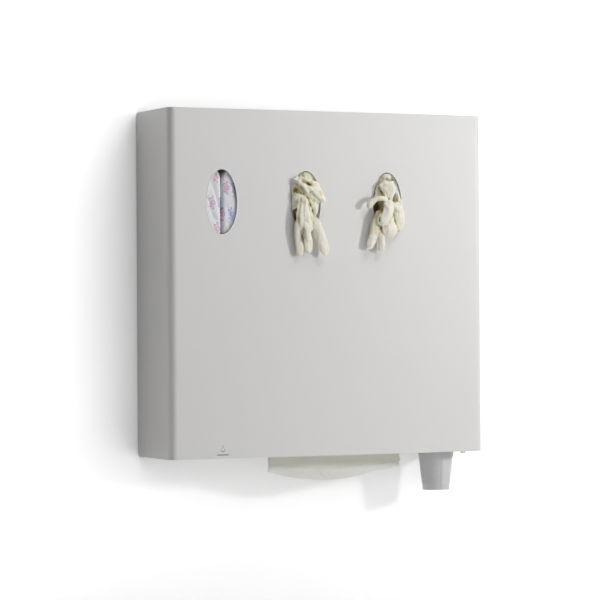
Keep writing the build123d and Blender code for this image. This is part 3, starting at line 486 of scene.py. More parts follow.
# Glove stations are millimetres from the middle of the slot's width, the cover's front and the slot's top.
middleGlove = dict(
    name="glove_middle_latex", slotX=cover["slotXs"][1], seed=3,
    sheets=[
        # the crumpled cuff that fills the slot from behind
        dict(thickness=1.4, net=[
            [(-9, 3.4, -3), (-3, 1.0, -2.5), (4, 0.6, -2.5), (10, 3.4, -4)],
            [(-16, 3.4, -13), (-7, -1.5, -12), (5, -2.5, -13), (16, 3.2, -15)],
            [(-21, 3.6, -28), (-8, -2, -27), (8, -3, -28), (20.5, 3.6, -30)],
            [(-23, 4.0, -58), (-9, 2, -58), (9, 2, -58), (22, 4.0, -58)],
            [(-18, 4.4, -90), (-7, 4.4, -92), (7, 4.4, -92), (18, 4.4, -88)]]),
        # the band drawn down across the slot to a point at the right
        dict(thickness=1.5, net=[
            [(-16, -1, -8), (-4, -4.5, -15), (9, -5.5, -19), (20, -4, -21), (25, -6, -30), (29, -9, -43)],
            [(-20, -4, -12), (-8, -6, -19), (3, -6.5, -25), (14, -8, -29), (22, -9, -37), (30, -11, -47)],
            [(-24, -4, -12), (-12, -10, -21), (0, -10, -29), (11, -12, -36), (20, -13, -44),
             (29, -12.5, -49)],
            [(-25, -3, -14), (-14, -8.5, -26), (-3, -11.5, -36), (8, -12.5, -43), (17, -12, -49),
             (26, -11.5, -50)],
            [(-25.4, -1, -18), (-16, -6, -31), (-5, -9.5, -39), (5, -10, -47), (14, -10, -50),
             (24, -10.5, -51)]]),
        # left lapel, folded twice
        dict(thickness=1.5, net=[
            [(-25.4, -1, -16), (-18, -7, -25), (-11, -9.5, -31), (-5, -10.5, -36)],
            [(-25.5, -1, -29), (-18, -4.5, -34), (-12, -7, -37), (-7, -9, -40)],
            [(-25.5, -3, -41), (-19, -8.5, -40), (-13, -10, -40), (-8, -10.5, -42)],
            [(-25.5, -1.5, -54), (-20, -6.5, -50), (-15, -9, -46.5), (-10, -10.5, -44.5)],
            [(-25.4, -2.5, -63), (-20, -7.5, -57), (-15, -10, -52), (-10.4, -11.5, -47.5)]]),
        # right lapel under the band
        dict(thickness=1.5, net=[
            [(-3, -9, -38), (6, -10.5, -44), (14, -10.5, -47), (21, -8, -47)],
            [(0, -9.5, -50), (7, -12, -54), (13, -11.5, -57), (19, -7.5, -57)],
            [(4, -10, -61), (9, -12, -63), (13, -11, -64.5), (17.5, -7.5, -64)],
            [(7.5, -10, -70), (9, -11, -71.5), (10.5, -10.5, -72), (12, -9, -70.5)]]),
    ],
    tubes=[
        dict(path=[(-13, -2, -9.5), (-1, -5.5, -15.5), (10, -6.5, -19), (20, -4, -20.5)], wide=(2, 3, 3, 2),
             deep=(2, 3, 3, 2), across=(0, 0, 1)),
        dict(path=[(-25, -1.5, -12), (-19, -7, -17), (-12, -11, -23), (-6, -12.5, -30), (-1, -12.5, -38)],
             wide=(2, 3, 3, 2.6, 2), deep=(2, 3, 3, 3, 2), across=(0, 0, 1)),
        dict(path=[(-2, -9, -25), (8, -12.5, -35), (17, -14, -42), (27, -13.5, -48)], wide=(2, 3.6, 4, 2.4),
             deep=(2, 3, 3, 1.6), across=(0, 0, 1)),
        # rolled bead along the left lapel's edge
        dict(path=[(-25.4, -3, -63.5), (-20, -8.5, -57.5), (-15, -11, -52.5), (-10.4, -12, -48)],
             wide=(1.3, 1.3),
             deep=(1.3, 1.3), across=(0, 0, 1)),
        # palm, drawn narrow under the band, then its fingers
        dict(path=[(-7, -8, -36), (-8, -9.5, -52), (-8, -10.5, -70), (-6, -11, -88), (-5, -10.5, -104)],
             wide=(4.5, 9, 14, 16, 11), deep=(3, 4.5, 6.5, 6.5, 3.4), pleats=(7, 0.08), tips=(0.2, 0.3)),
        dict(path=[(-15, -10, -70), (-18.5, -9.5, -86), (-17.6, -8, -104), (-14.6, -7, -120),
                   (-14.5, -6.4, -136)],
             wide=(4, 6, 6.8, 7, 6), deep=(3, 4.6, 4.8, 4.6, 3.6), pleats=(3, 0.06)),
        dict(path=[(-9, -11, -74), (-7, -14, -86), (-5, -16, -98), (-4, -15.8, -114)],
             wide=(4, 6.2, 6.6, 5.4),
             deep=(3, 4.4, 4.4, 3.4), pleats=(4, 0.05)),
        dict(path=[(-6, -8, -84), (-2, -7.6, -100), (1, -7, -115), (0.6, -7, -130.5)], wide=(5, 8, 9, 7),
             deep=(2.4, 3, 3, 2.6), pleats=(3, 0.05)),
        dict(path=[(-2, -10, -70), (10, -11, -80), (18, -11.5, -96), (23.5, -11, -114), (30, -10.2, -135)],
             wide=(5, 7.5, 8.6, 9.4, 7.6), deep=(3, 4.8, 5, 5, 4), pleats=(3, 0.06)),
    ],
    # x, z, radius and strength of the places where the film is painted dark as shade, deep in folds
    paintedShadeSpots=[(-24, -76, 6, 1.0), (16, -73, 6, 1.0), (-11, -50, 3.5, 0.8), (2.5, -55, 3.5, 0.9), (6, -64, 3, 0.9),
          (-18, -31, 4, 0.5), (2, -22, 3.5, 0.45), (-20, -35, 5, 0.35), (0, -100, 3, 0.2)],
)

rightGlove = dict(
    name="glove_right_latex", slotX=cover["slotXs"][2], seed=8,
    sheets=[
        dict(thickness=1.4, net=[
            [(-9, 3.4, -4), (-3, 0.8, -2.5), (4, 1.4, -2.5), (10, 3.4, -4)],
            [(-17, 3.4, -13), (-7, -1.5, -13), (5, 0.5, -14), (15, 3.8, -15)],
            [(-22.5, 3.4, -28), (-8, -1, -28), (8, 0, -30), (18.5, 3.8, -32)],
            [(-24, 3.6, -58), (-12, 1, -58), (9, 1, -58), (19.5, 3.8, -58)],
            [(-20, 4.4, -88), (-7, 4.4, -92), (7, 4.4, -92), (17, 4.4, -88)]]),
        # the bow: a white flap folded forward over the knot
        dict(thickness=1.6, net=[
            [(-17, -6, -19), (-9, -8, -15), (-1, -9, -15), (7, -7, -15)],
            [(-18, -9, -23), (-8, -11.5, -22.5), (2, -13.5, -22), (12.8, -9, -23)],
            [(-13, -11, -31), (-5, -14, -31), (3, -15, -31), (10, -11, -32)],
            [(-7, -12.5, -40), (-3, -15, -40), (1, -15, -41), (5, -12, -40)],
            [(-5, -12, -48), (-2, -14, -48), (1, -14, -48), (3, -12, -48)]]),
        # pale panel at the left of the bow
        dict(thickness=1.4, net=[
            [(-19, -2, -20), (-16, -5, -23), (-12, -8, -27)],
            [(-23, -3, -33), (-18, -6, -35), (-11, -9, -38)],
            [(-26, -4, -46), (-19, -7, -46), (-9, -11, -45)]]),
        # right flap with a sharp lower edge
        dict(thickness=1.5, net=[
            [(0, -12, -45), (8, -12, -49), (16, -9.5, -52), (23, -6.5, -55)],
            [(2, -15, -52), (11, -15.5, -58), (19, -12.5, -63), (27, -8, -67)],
            [(4, -13.5, -59), (13, -13.5, -66), (21, -11.5, -71), (29, -8, -76)]]),
    ],
    tubes=[
        dict(path=[(-13, 2, -10), (-5, -1, -7), (3, -1, -9), (6, 0, -16)],
             wide=(2, 4, 4, 2), deep=(2, 3, 3, 2),
             across=(0, 0, 1)),
        dict(path=[(-17, -5, -20), (-14, -9, -28), (-9, -12, -38), (-7, -13, -46)], wide=(2, 2.4, 2.4, 2),
             deep=(2, 2.4, 2.4, 2)),
        dict(path=[(9, -5, -25), (15, -6, -36), (19, -6.5, -48), (24, -7, -58)], wide=(2.4, 3.4, 3.6, 2.6),
             deep=(2, 3, 3, 2)),
        # the finger that springs out to the left
        dict(path=[(-6, -14, -47), (-17, -16.5, -43), (-27, -15, -44), (-34, -13.5, -50), (-41, -12, -58)],
             wide=(3.4, 4.2, 4.4, 5.2, 4.6), deep=(3, 3.6, 3.6, 3.6, 3), across=(0, 0, 1), pleats=(3, 0.05)),
        # knot and the white centre lobe that hangs from it
        dict(path=[(-3, -13, -44), (-5, -16.5, -54), (-8, -18, -66), (-14, -17.5, -78), (-19, -16, -86)],
             wide=(5, 9, 9.5, 8.5, 5), deep=(4, 5, 5, 4.4, 3), pleats=(5, 0.06)),
        dict(path=[(-17, -16, -66), (-24, -15.5, -74), (-24, -15.5, -81), (-18, -16.5, -86), (-11, -17, -84)],
             wide=(1.4, 1.5, 1.5, 1.4), deep=(1.4, 1.5, 1.5, 1.4), across=(0, 1, 0)),
        # hip and palm below the right flap
        dict(path=[(6, -9, -50), (13, -9, -64), (15, -8.6, -80), (9, -8.6, -97)], wide=(8, 11, 11.5, 7),
             deep=(5, 7, 6.4, 4), pleats=(4, 0.06)),
        dict(path=[(-3, -11, -62), (-5, -12.5, -80), (-2, -13, -94), (0, -12, -107)], wide=(8, 13, 14.5, 10),
             deep=(4, 6, 6.4, 4), pleats=(3, 0.04), tips=(0.1, 0.2)),
        # olive back panel and the two fingers under it
        dict(path=[(-18, -7, -62), (-23, -8.6, -78), (-26, -9.4, -93), (-26, -9.6, -106)],
             wide=(5, 8, 11, 11),
             deep=(3, 4.4, 4.4, 3), pleats=(6, 0.07)),
        dict(path=[(-26, -9.4, -92), (-31, -9, -106), (-34.5, -8.4, -115), (-37, -7.6, -124)],
             wide=(7, 8.6, 8.4, 6.4),
             deep=(3.6, 4.6, 4.6, 3.6), pleats=(3, 0.05)),
        dict(path=[(-18, -10, -90), (-16.5, -10.4, -104), (-15.6, -10, -116), (-15.5, -9.4, -128)],
             wide=(5, 6.4, 6.8, 6), deep=(3, 4.4, 4.6, 3.6), pleats=(3, 0.05)),
    ],
    paintedShadeSpots=[(-20, -56, 6, 1.0), (-24, -52, 5, 0.7), (18, -12, 6, 0.8), (12, -20, 4, 0.7), (-9, -22, 2.2, 0.55),
          (-13, -33, 3, 0.5), (2, -68, 4, 0.5), (8, -80, 4, 0.4), (-26, -90, 9, 0.42), (-25, -72, 6, 0.6),
          (15, -95, 3, 0.6), (-24, -108, 3, 0.25), (24, -40, 3, 0.8)],
)


def foldTube(path, wide, deep, pleats=(0, 0.0), across=(1, 0, 0), tips=(0.10, 0.14)):
    # a soft tube along a smooth curve: an oval of changing half width and half depth, with lengthwise pleats
    # (how many, how deep), whose ends close in a quarter circle over the tips' shares of its length
    rows, columns = 72, 56
    t = np.linspace(0, 1, rows)
    centre = smoothCurve(path, rows)

    def along(values):
        return np.interp(t, np.linspace(0, 1, len(values)), values)

    tangent = np.gradient(centre, axis=0)
    tangent /= np.linalg.norm(tangent, axis=1)[:, None]
    side = np.array(across, float) - tangent * (tangent @ np.array(across, float))[:, None]
    side /= np.linalg.norm(side, axis=1)[:, None]
    front = np.cross(side, tangent)
    opening = np.sqrt(np.clip(1 - ((tips[0] - t) / tips[0]).clip(0, 1) ** 2, 0, 1))
    closing = np.sqrt(np.clip(1 - ((t - 1 + tips[1]) / tips[1]).clip(0, 1) ** 2, 0, 1))
    scale = np.maximum(opening * closing, 0.02)
    angle = np.linspace(0, 2 * np.pi, columns, endpoint=False)
    # the pleats wander a little round the tube on their way
    ripple = 1 + pleats[1] * np.cos(pleats[0] * angle[None] + 2.5 * np.sin(3 * t)[:, None])
    w = (along(wide) * scale)[:, None] * ripple * np.cos(angle)
    d = (along(deep) * scale)[:, None] * ripple * np.sin(angle)
    points = centre[:, None] + side[:, None] * w[..., None] + front[:, None] * d[..., None]
    return points.reshape(-1, 3), gridFaces(rows, columns, wrap=True)


latexFilm = dict(
    voxel=0.7 * mm,                 # of the remesh that unites the folds
    tubeDepth=0.8, fingerWidth=0.9,   # the relief adds its own thickness, so tubes start slimmer
    fingersBelow=-105,              # a tube that ends lower than this is a finger
    palmFrom=-70, palmTo=-105, palmCalm=0.62,   # the film is smoother from the palm down
    broad=1.1, fine=0.3, pleat=0.9, crinkle=0.14,   # relief in mm
    # the hollows found with these rounds and gains set how dark the painted fold shade gets
    rounds=(10, 24, 110), gains=(0.35, 0.38, 0.17),   # of the hollows near, middling and far
)


def filmRelief(local, seed):
    # crumpled film: flat facets between sharp creases, longest down the glove, with finer ones and pleats
    swirl = latticeNoise(local * 0.08, seed)[:, None] * 0.8
    broad = facetNoise(local * (0.14, 0.14, 0.05) + swirl, seed + 1)
    fine = facetNoise(local * (0.3, 0.3, 0.12) + swirl * 2 + 3, seed + 2)
    pleat = 1 - np.abs(latticeNoise(local * (0.2, 0.2, 0.045) + swirl, seed + 3))
    crinkle = facetNoise(local * (0.55, 0.55, 0.4) + swirl * 3, seed + 4)
    run = (local[:, 2] - latexFilm["palmTo"]) / (latexFilm["palmFrom"] - latexFilm["palmTo"])
    calm = np.clip(run, latexFilm["palmCalm"], 1)
    creases = latexFilm["broad"] * broad + latexFilm["fine"] * fine + latexFilm["pleat"] * (pleat ** 4 - 0.4)
    relief = creases * calm + latexFilm["crinkle"] * crinkle
    # a thin sheet's two faces never press past each other
    return np.maximum(relief, -0.3 + 0.15 * relief)


def paintedFoldShade(points, normals, edges, local, paintedShadeSpots):
    # hollows: where the surface lies below its own smoothed shape, near and far, it is deep in a fold, and
    # there the film is painted darker as shade
    smooth, deep = points, 0
    for rounds, gain in zip(latexFilm["rounds"], latexFilm["gains"]):
        smooth = relaxed(smooth, edges, rounds, 0.6)
        deep = deep + gain * (np.einsum("ij,ij->i", smooth - points, normals) / mm)
    deep = np.clip(deep, 0, 1) * 0.95
    # painted shade: film behind the cover's front is darker, standing for the cover's shadow, and so are the
    # spots that the glove lists
    behind = np.clip((local[:, 1] + 3.5) / 7, 0, 1) * 0.5
    shadeSpot = sum(amount * np.exp(-((local[:, 0] - x) ** 2 + (local[:, 2] - z) ** 2) / radius ** 2)
                for x, z, radius, amount in paintedShadeSpots)
    shelter = np.clip(0.35 + deep + behind + (local[:, 1] + 12) / 12, 0.1, 1)
    foldShade = np.clip(deep + behind + 1.15 * shadeSpot * shelter, 0, 1)
    return relaxed(foldShade[:, None].repeat(3, 1), edges, 2)[:, 0]


def drawnGlove(glove):
    # all folds as one closed film: united by a voxel remesh, relaxed, then creased along its normals
    parts = [walled(smoothSurface(sheet["net"], 48, 48), sheet["thickness"]) for sheet in glove["sheets"]]
    for tube in glove["tubes"]:
        isFinger = tube["path"][-1][2] < latexFilm["fingersBelow"]
        slimmer = {"wide": np.multiply(tube["wide"], latexFilm["fingerWidth"] if isFinger else 1.0),
                   "deep": np.multiply(tube["deep"], latexFilm["tubeDepth"])}
        parts.append(foldTube(**{**tube, **slimmer}))
    starts = np.cumsum([0] + [len(points) for points, _ in parts])
    origin = np.array((glove["slotX"], cover["frontY"], cover["slotTop"]))
    piece = meshObject(glove["name"], np.vstack([points for points, _ in parts]) * mm + origin,
                       np.vstack([faces + start for (_, faces), start in zip(parts, starts)]))
    remesh = piece.modifiers.new("union", "REMESH")
    remesh.mode = "VOXEL"
    remesh.voxel_size = latexFilm["voxel"]
    remesh.use_smooth_shade = True
    applyModifiers(piece)
    points, normals, edges = meshArrays(piece)
    points = relaxed(points, edges, 4)
    local = (points - origin) / mm
    points = relaxed(points + normals * (filmRelief(local, glove["seed"]) * mm)[:, None], edges, 1)
    piece.data.vertices.foreach_set("co", points.ravel())
    piece.data.update()
    points, normals, edges = meshArrays(piece)
    pointAttribute(piece, "foldShade", paintedFoldShade(points, normals, edges, local, glove["paintedShadeSpots"]))
    piece.data.shade_smooth()
    return flipOutward(piece)


latex = latexMaterial()
for glove, node in ((middleGlove, "glove_middle"), (rightGlove, "glove_right")):
    piece = drawnGlove(glove)
    piece.data.materials.append(latex)
    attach(piece, "cover")
    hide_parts(node)
paint(("glove_pack_",), packedLatex())
print("gloves drawn out")


film = dict(
    cellAcross=31.0, cellAlong=41.0,     # one blossom stands in each cell
    petalReach=8.2, petalDepth=2.2, heart=2.8, lineHalf=1.05, petalTint=0.22,
    rowZ=(132.0, 126.0, 108.0),          # height of a row of blossoms on each pad
    edges=(-247.4, -216.6, -184.6, -154.4), gap=0.3,   # the pads' sides, and the air between two pads
    fin=5.0, shoulder=24.0,              # crimped fin at each end, and the slope up to the full thickness
    squareness=9,
    bulge=3.7, openingX=-186.0, openingZ=127.0, openingHalf=(43.0, 58.0),
)


def printedFilm():
    # glossy polyethylene over white fleece, printed with outlined five-petal blossoms in two colours
    material, tree, place = newMaterial("printed film")
    wear = addNode(tree, "TexNoise", {"Scale": 1 / (5 * mm), "Detail": 2.0}, {"Vector": place})
    outputs = {"wear": wear.outputs["Fac"]}
    for name in ("around", "along"):
        outputs[name] = addNode(tree, "Attribute", {"attribute_name": name}).outputs["Fac"]
    across, along = film["cellAcross"], film["cellAlong"]
    # each row is one node: its name, its operation, and its inputs, which are numbers or earlier names
    steps = [
        ("rows", "DIVIDE", "along", along), ("row", "FLOOR", "rows"), ("rowCount", "ABSOLUTE", "row"),
        # every second row is set half a cell to the side
        ("odd", "MODULO", "rowCount", 2.0), ("aside", "MULTIPLY", "odd", across / 2),
        ("moved", "ADD", "around", "aside"),
        ("columns", "DIVIDE", "moved", across), ("column", "FLOOR", "columns"),
        # x and y are measured from the middle of the cell
        ("left", "MULTIPLY", "column", across), ("fromLeft", "SUBTRACT", "moved", "left"),
        ("x", "SUBTRACT", "fromLeft", across / 2),
        ("low", "MULTIPLY", "row", along), ("fromLow", "SUBTRACT", "along", "low"),
        ("y", "SUBTRACT", "fromLow", along / 2),
        ("xx", "MULTIPLY", "x", "x"), ("yy", "MULTIPLY", "y", "y"), ("square", "ADD", "xx", "yy"),
        ("reach", "SQRT", "square"), ("bearing", "ARCTAN2", "y", "x"),
        ("fiveTurns", "MULTIPLY", "bearing", 5.0), ("lobes", "COSINE", "fiveTurns"),
        ("petal", "MULTIPLY_ADD", "lobes", film["petalDepth"], film["petalReach"]),
        # a line has a soft edge of a third of its half width
        ("fromPetal", "SUBTRACT", "reach", "petal"), ("petalGap", "ABSOLUTE", "fromPetal"),
        ("fromHeart", "SUBTRACT", "reach", film["heart"]), ("heartGap", "ABSOLUTE", "fromHeart"),
        ("gap", "MINIMUM", "petalGap", "heartGap"), ("inner", "SUBTRACT", film["lineHalf"], "gap"),
        ("line", "MULTIPLY", "inner", 3 / film["lineHalf"]),
        ("inside", "LESS_THAN", "reach", "petal"), ("tint", "MULTIPLY", "inside", film["petalTint"]),
        ("drawn", "MAXIMUM", "line", "tint"), ("full", "MINIMUM", "drawn", 1.0),
        ("worn", "MULTIPLY_ADD", "wear", 1.0, 0.3), ("inked", "MULTIPLY", "full", "worn"),
        ("cell", "ADD", "row", "column"), ("cellCount", "ABSOLUTE", "cell"),
        ("parity", "MODULO", "cellCount", 2.0),
    ]
    for name, operation, *inputs in steps:
        numbers = {k: value for k, value in enumerate(inputs) if not isinstance(value, str)}
        sources = {k: outputs[value] for k, value in enumerate(inputs) if isinstance(value, str)}
        outputs[name] = addNode(tree, "Math", {"operation": operation, **numbers}, sources).outputs[0]
    ink = addNode(tree, "Mix", {"data_type": "RGBA", 6: srgb("cf5f98"), 7: srgb("4f86cf")},
                  {"Factor": outputs["parity"]})
    fleece = addNode(tree, "Mix", {"data_type": "RGBA", 6: srgb("f1f1f4"), 7: srgb("e2e1e7")},
                     {"Factor": outputs["wear"]})
    colour = addNode(tree, "Mix", {"data_type": "RGBA"},
                     {"Factor": outputs["inked"], 6: fleece.outputs[2], 7: ink.outputs[2]})
    crinkle = addNode(tree, "TexNoise", {"Scale": 1 / (4 * mm), "Detail": 4.0, "Distortion": 1.2},
                      {"Vector": place})
    settings = {"Roughness": 0.5, "IOR": 1.5, "Coat Weight": 0.12, "Coat Roughness": 0.25,
                "Subsurface Weight": 0.15, "Subsurface Scale": 1.5 * mm}
    finishSurface(tree, settings, colour.outputs[2], crinkle.outputs["Fac"], 0.16)
    return material


def wrappedPad(name, node, number):
    # a pillow pack: a superellipse section carried upwards, thinning to a crimped fin at both ends
    low, high = (np.array(v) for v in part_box(node))
    low[0], high[0] = film["edges"][number - 1] * mm, (film["edges"][number] - film["gap"]) * mm
    middle, half = (low + high) / 2, (high - low) / 2
    rows, columns = 170, 150
    run = np.linspace(-1, 1, rows)
    height = np.sign(run) * (1 - (1 - np.abs(run)) ** 1.25) * half[2]
    toFin = half[2] - np.abs(height) - film["fin"] * mm
    thin = 0.05 + 0.95 * (1 - (1 - np.clip(toFin / (film["shoulder"] * mm), 0, 1)) ** 2.6)
    angle = np.linspace(0, 2 * np.pi, columns, endpoint=False)
    c, s = np.cos(angle), np.sin(angle)
    power = film["squareness"]
    reach = (np.abs(c) ** power + np.abs(s) ** power) ** (-1 / power)
    x = half[0] * 0.98 * (reach * c)[None] * thin[:, None]
    y = half[1] * 0.99 * (reach * s)[None] * (0.97 + 0.03 * thin[:, None])
    points = np.stack([x, y, height[:, None].repeat(columns, 1)], -1).reshape(-1, 3)
    # wrinkles press inwards: long upright creases, slanting ones, and fine crimps across the fins
    thin = thin.repeat(columns)
    upright = np.abs(latticeNoise(points * (70, 70, 16) + 5, number))
    slant = np.abs(latticeNoise((points + points[:, [2, 0, 1]] * 0.35) * (80, 80, 55), number + 1))
    crimp = 0.5 + 0.5 * np.cos(points[:, 1] / (1.1 * mm) * np.pi)
    press = 1.1 * (1 - upright) ** 4 + 1.0 * (1 - slant) ** 4 + 0.35 * crimp * (thin < 0.1)
    inward = np.stack([points[:, 0] / half[0], points[:, 1] / half[1], 0 * points[:, 0]], 1)
    inward /= np.linalg.norm(inward, axis=1)[:, None]
    bent = points - inward * (press * mm * np.clip(1.6 * thin, 0.1, 1))[:, None]
    # the soft front swells through the carton's opening, towards the slot
    fromOpening = np.abs((bent + middle)[:, [0, 2]] / mm - (film["openingX"], film["openingZ"]))
    inside = np.clip((film["openingHalf"] - fromOpening) / (5, 12), 0, 1)
    inside = np.prod(inside * inside * (3 - 2 * inside), axis=1)
    bent[:, 1] -= film["bulge"] * mm * inside * np.clip(-bent[:, 1] / half[1] * 2 - 0.6, 0, 1)
    ends = np.array([[0, 0, -half[2]], [0, 0, half[2]]])
    piece = closedTube(name, np.vstack([bent, ends]) + middle, rows, columns)
    # the print follows the film: millimetres round the section from the middle of its front, and up the pack
    section = np.stack([half[0] * reach * c, half[1] * reach * s], 1)
    steps = np.linalg.norm(np.diff(section, axis=0), axis=1)
    around = np.roll(np.r_[0, np.cumsum(steps)], columns // 4) / mm
    around += film["cellAcross"] * (0.5 + number) - around[columns * 3 // 4]
    # rowZ is the middle of the thirteenth cell, so no row of cells counts below zero
    start = film["rowZ"][number - 1] - 12.5 * film["cellAlong"]
    along = np.r_[points[:, 2], 0, 0] / mm + middle[2] / mm - start
    pointAttribute(piece, "around", np.r_[np.tile(around, rows), 0, 0])
    pointAttribute(piece, "along", along)
    return flipOutward(piece)


filmPrint = printedFilm()
for number in (1, 2, 3):
    pack = wrappedPad(f"pad_pack_{number}", f"wrapped_pad_{number}", number)
    pack.data.materials.append(filmPrint)
    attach(pack, "cabinet")
    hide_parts(f"wrapped_pad_{number}")
print("pads wrapped")


def tissuePaper(name, frontLeafShade, cool):
    # embossed crepe tissue: two sets of slanting embossed lines over fine fibre
    material, tree, place = newMaterial(name)
    heights = []
    for turn, pitch in ((40, 1.7), (-50, 2.3)):
        turned = addNode(tree, "Mapping", {"Rotation": (0, math.radians(turn), 0)}, {"Vector": place})
        # a wave texture at scale 1 turns through 20 radians in each unit
        wave = addNode(tree, "TexWave",
                       {"bands_direction": "X", "Scale": 2 * math.pi / 20 / (pitch * mm), "Distortion": 0.8,
                        "Detail": 1.0, "Detail Scale": 1.5}, {"Vector": turned.outputs[0]})
        heights.append(wave.outputs["Fac"])
    fibre = addNode(tree, "TexNoise", {"Scale": 1 / (0.8 * mm), "Detail": 4.0}, {"Vector": place})
    both = addNode(tree, "Math", {"operation": "MULTIPLY_ADD", 1: 0.45}, {0: heights[1], 2: heights[0]})
    relief = addNode(tree, "Math", {"operation": "MULTIPLY_ADD", 1: 0.5},
                     {0: fibre.outputs["Fac"], 2: both.outputs[0]})
    # painted shade: the front leaf, which hangs in the shade of the cabinet's base, takes a slightly warmer,
    # darker tone than the rear leaves
    front = addNode(tree, "Attribute", {"attribute_name": "front"})
    tone = addNode(tree, "Mix", {"data_type": "RGBA", 6: srgb(cool), 7: srgb(frontLeafShade)},
                   {"Factor": front.outputs["Fac"]})
    # painted shade: the hollows of the first set of embossed lines are multiplied slightly darker
    sunk = addNode(tree, "Math", {"operation": "SUBTRACT", 0: 1.0}, {1: heights[0]})
    embossShade = addNode(tree, "Mix", {"data_type": "RGBA", "blend_type": "MULTIPLY", 7: srgb("f0eee8")},
                     {"Factor": sunk.outputs[0], 6: tone.outputs[2]})
    settings = {"Roughness": 0.9, "IOR": 1.4, "Subsurface Weight": 0.12, "Subsurface Scale": 1.0 * mm}
    finishSurface(tree, settings, embossShade.outputs[2], relief.outputs[0], 0.09)
    return material


towel = dict(
    left=-81.5, right=149.5,       # ends of the folded towel, mm
    base=-272.5, top=-269.5,       # cover's bottom edge, and where the leaves vanish into the base
    frontY=-81.0, middleY=-78.8, rearY=-77.2,
    # how far each lower edge hangs below the base, evenly spaced from left to right
    frontDrop=[(12.1,), (18.3,), (23.7,), (24.9,), (23.2,), (20.4,), (18.9,), (14.9,)],
    rearDrop=[(26.1,), (34.9,), (39.8,), (42.3,), (40.5,), (34.7,), (29.4,), (25,)],
    thickness=0.55,
    frontShare=0.24,               # share of the strip that is the front leaf
    pinchX=12, pinchZ=-303, pinchDepth=1.5, pinchWidth=1.6, pinchLength=9,
)


def hangingTowel():
    # one strip folded in a zigzag: up the front leaf, over inside the base, down and round the rear pair
    columns, rows = 150, 130
    x = np.linspace(towel["left"], towel["right"], columns)
    u = np.linspace(0, 1, columns)
    frontLow = towel["base"] - smoothCurve(towel["frontDrop"], columns)[:, 0]
    rearLow = towel["base"] - smoothCurve(towel["rearDrop"], columns)[:, 0]
    top, front, middle, rear = towel["top"], towel["frontY"], towel["middleY"], towel["rearY"]
    # the leaves bow by up to a millimetre between their ends
    belly = 0.9 * np.sin(np.pi * u) + 0.5 * np.sin(5.2 * u + 0.8)
    # depth and height of the strip's lines, from the front leaf's lower edge on
    stations = [
        (front + 0.6 * belly, frontLow),
        (front - 0.5 * belly, frontLow * 0.6 + top * 0.4),
        (front, top - 2.5 + 0 * u),
        ((front + middle) / 2 + 0 * u, top + 0 * u),
        (middle, top - 2.5 + 0 * u),
        (middle - 0.9 * belly, rearLow * 0.5 + top * 0.5),
        (middle - 0.6 * belly, rearLow + 2.2),
        ((middle + rear) / 2 - 0.4 * belly, rearLow),
        (rear - 0.3 * belly, rearLow + 2.2),
        (rear - 0.2 * belly, rearLow * 0.5 + top * 0.5),
        (rear, top + 0 * u),
    ]
    net = np.array([np.stack([x, y + 0 * u, z], 1) for y, z in stations])
    surface = np.array([smoothCurve(net[:, j], rows) for j in range(columns)]).transpose(1, 0, 2)
    depth = np.clip((top - surface[..., 2]) / 20, 0, 1)
    # the folded ends stand out and in by a few millimetres, leaf by leaf
    step = np.linspace(0, 1, rows)[:, None]
    ends = (2 * u - 1)[None] ** 9
    surface[..., 0] += ends * (1.3 + 1.6 * np.cos(19 * step)) * depth
    flat = surface.reshape(-1, 3)
    soft = latticeNoise(flat * (0.035, 0.1, 0.09), 4) * 1.1 + latticeNoise(flat * (0.11, 0.1, 0.16), 9) * 0.4
    surface[..., 1] += soft.reshape(rows, columns) * depth * 0.9
    # a short slanting pinch in the rear leaf
    fromX, fromZ = surface[..., 0] - towel["pinchX"], surface[..., 2] - towel["pinchZ"]
    acrossPinch = (fromX * 0.62 + fromZ * 0.78) / towel["pinchWidth"]
    alongPinch = (fromX * 0.78 - fromZ * 0.62) / towel["pinchLength"]
    isRear = surface[..., 1] > -80.2
    surface[..., 1] -= towel["pinchDepth"] * np.exp(-acrossPinch ** 2 - alongPinch ** 2) * isRear
    points, faces = walled(surface, towel["thickness"])
    piece = meshObject("towel_leaves", points * mm, faces)
    isFront = (np.arange(rows) < rows * towel["frontShare"]).astype(float)
    pointAttribute(piece, "front", isFront.repeat(2 * columns))
    length = np.linalg.norm(np.diff(surface, axis=0), axis=2).sum(axis=0).mean() * mm
    return flipOutward(piece), length


leaves, stripLength = hangingTowel()
leaves.data.materials.append(tissuePaper("embossed tissue", "fbf9f0", "fbfbf8"))
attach(leaves, "cabinet")
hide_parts("hanging_towel")
paint(("towel_stack",), tissuePaper("stacked tissue", "e9e7e0", "efeeea"))
print("towel hung")


cup = dict(
    count=6, axis=(223.0, -70.0), low=-337.0, pitch=9.5,   # nested cups, their axis and the lowest one's foot
    height=97.0, foot=22.2, step=0.9, mouth=33.4, rim=35.15, rimHeight=3.0, wall=0.5,   # radii and heights
    ribPitch=1.6, ribDepth=0.16,
    seamTurn=0.735,                # where the mould line stands, as a share of the turn
)


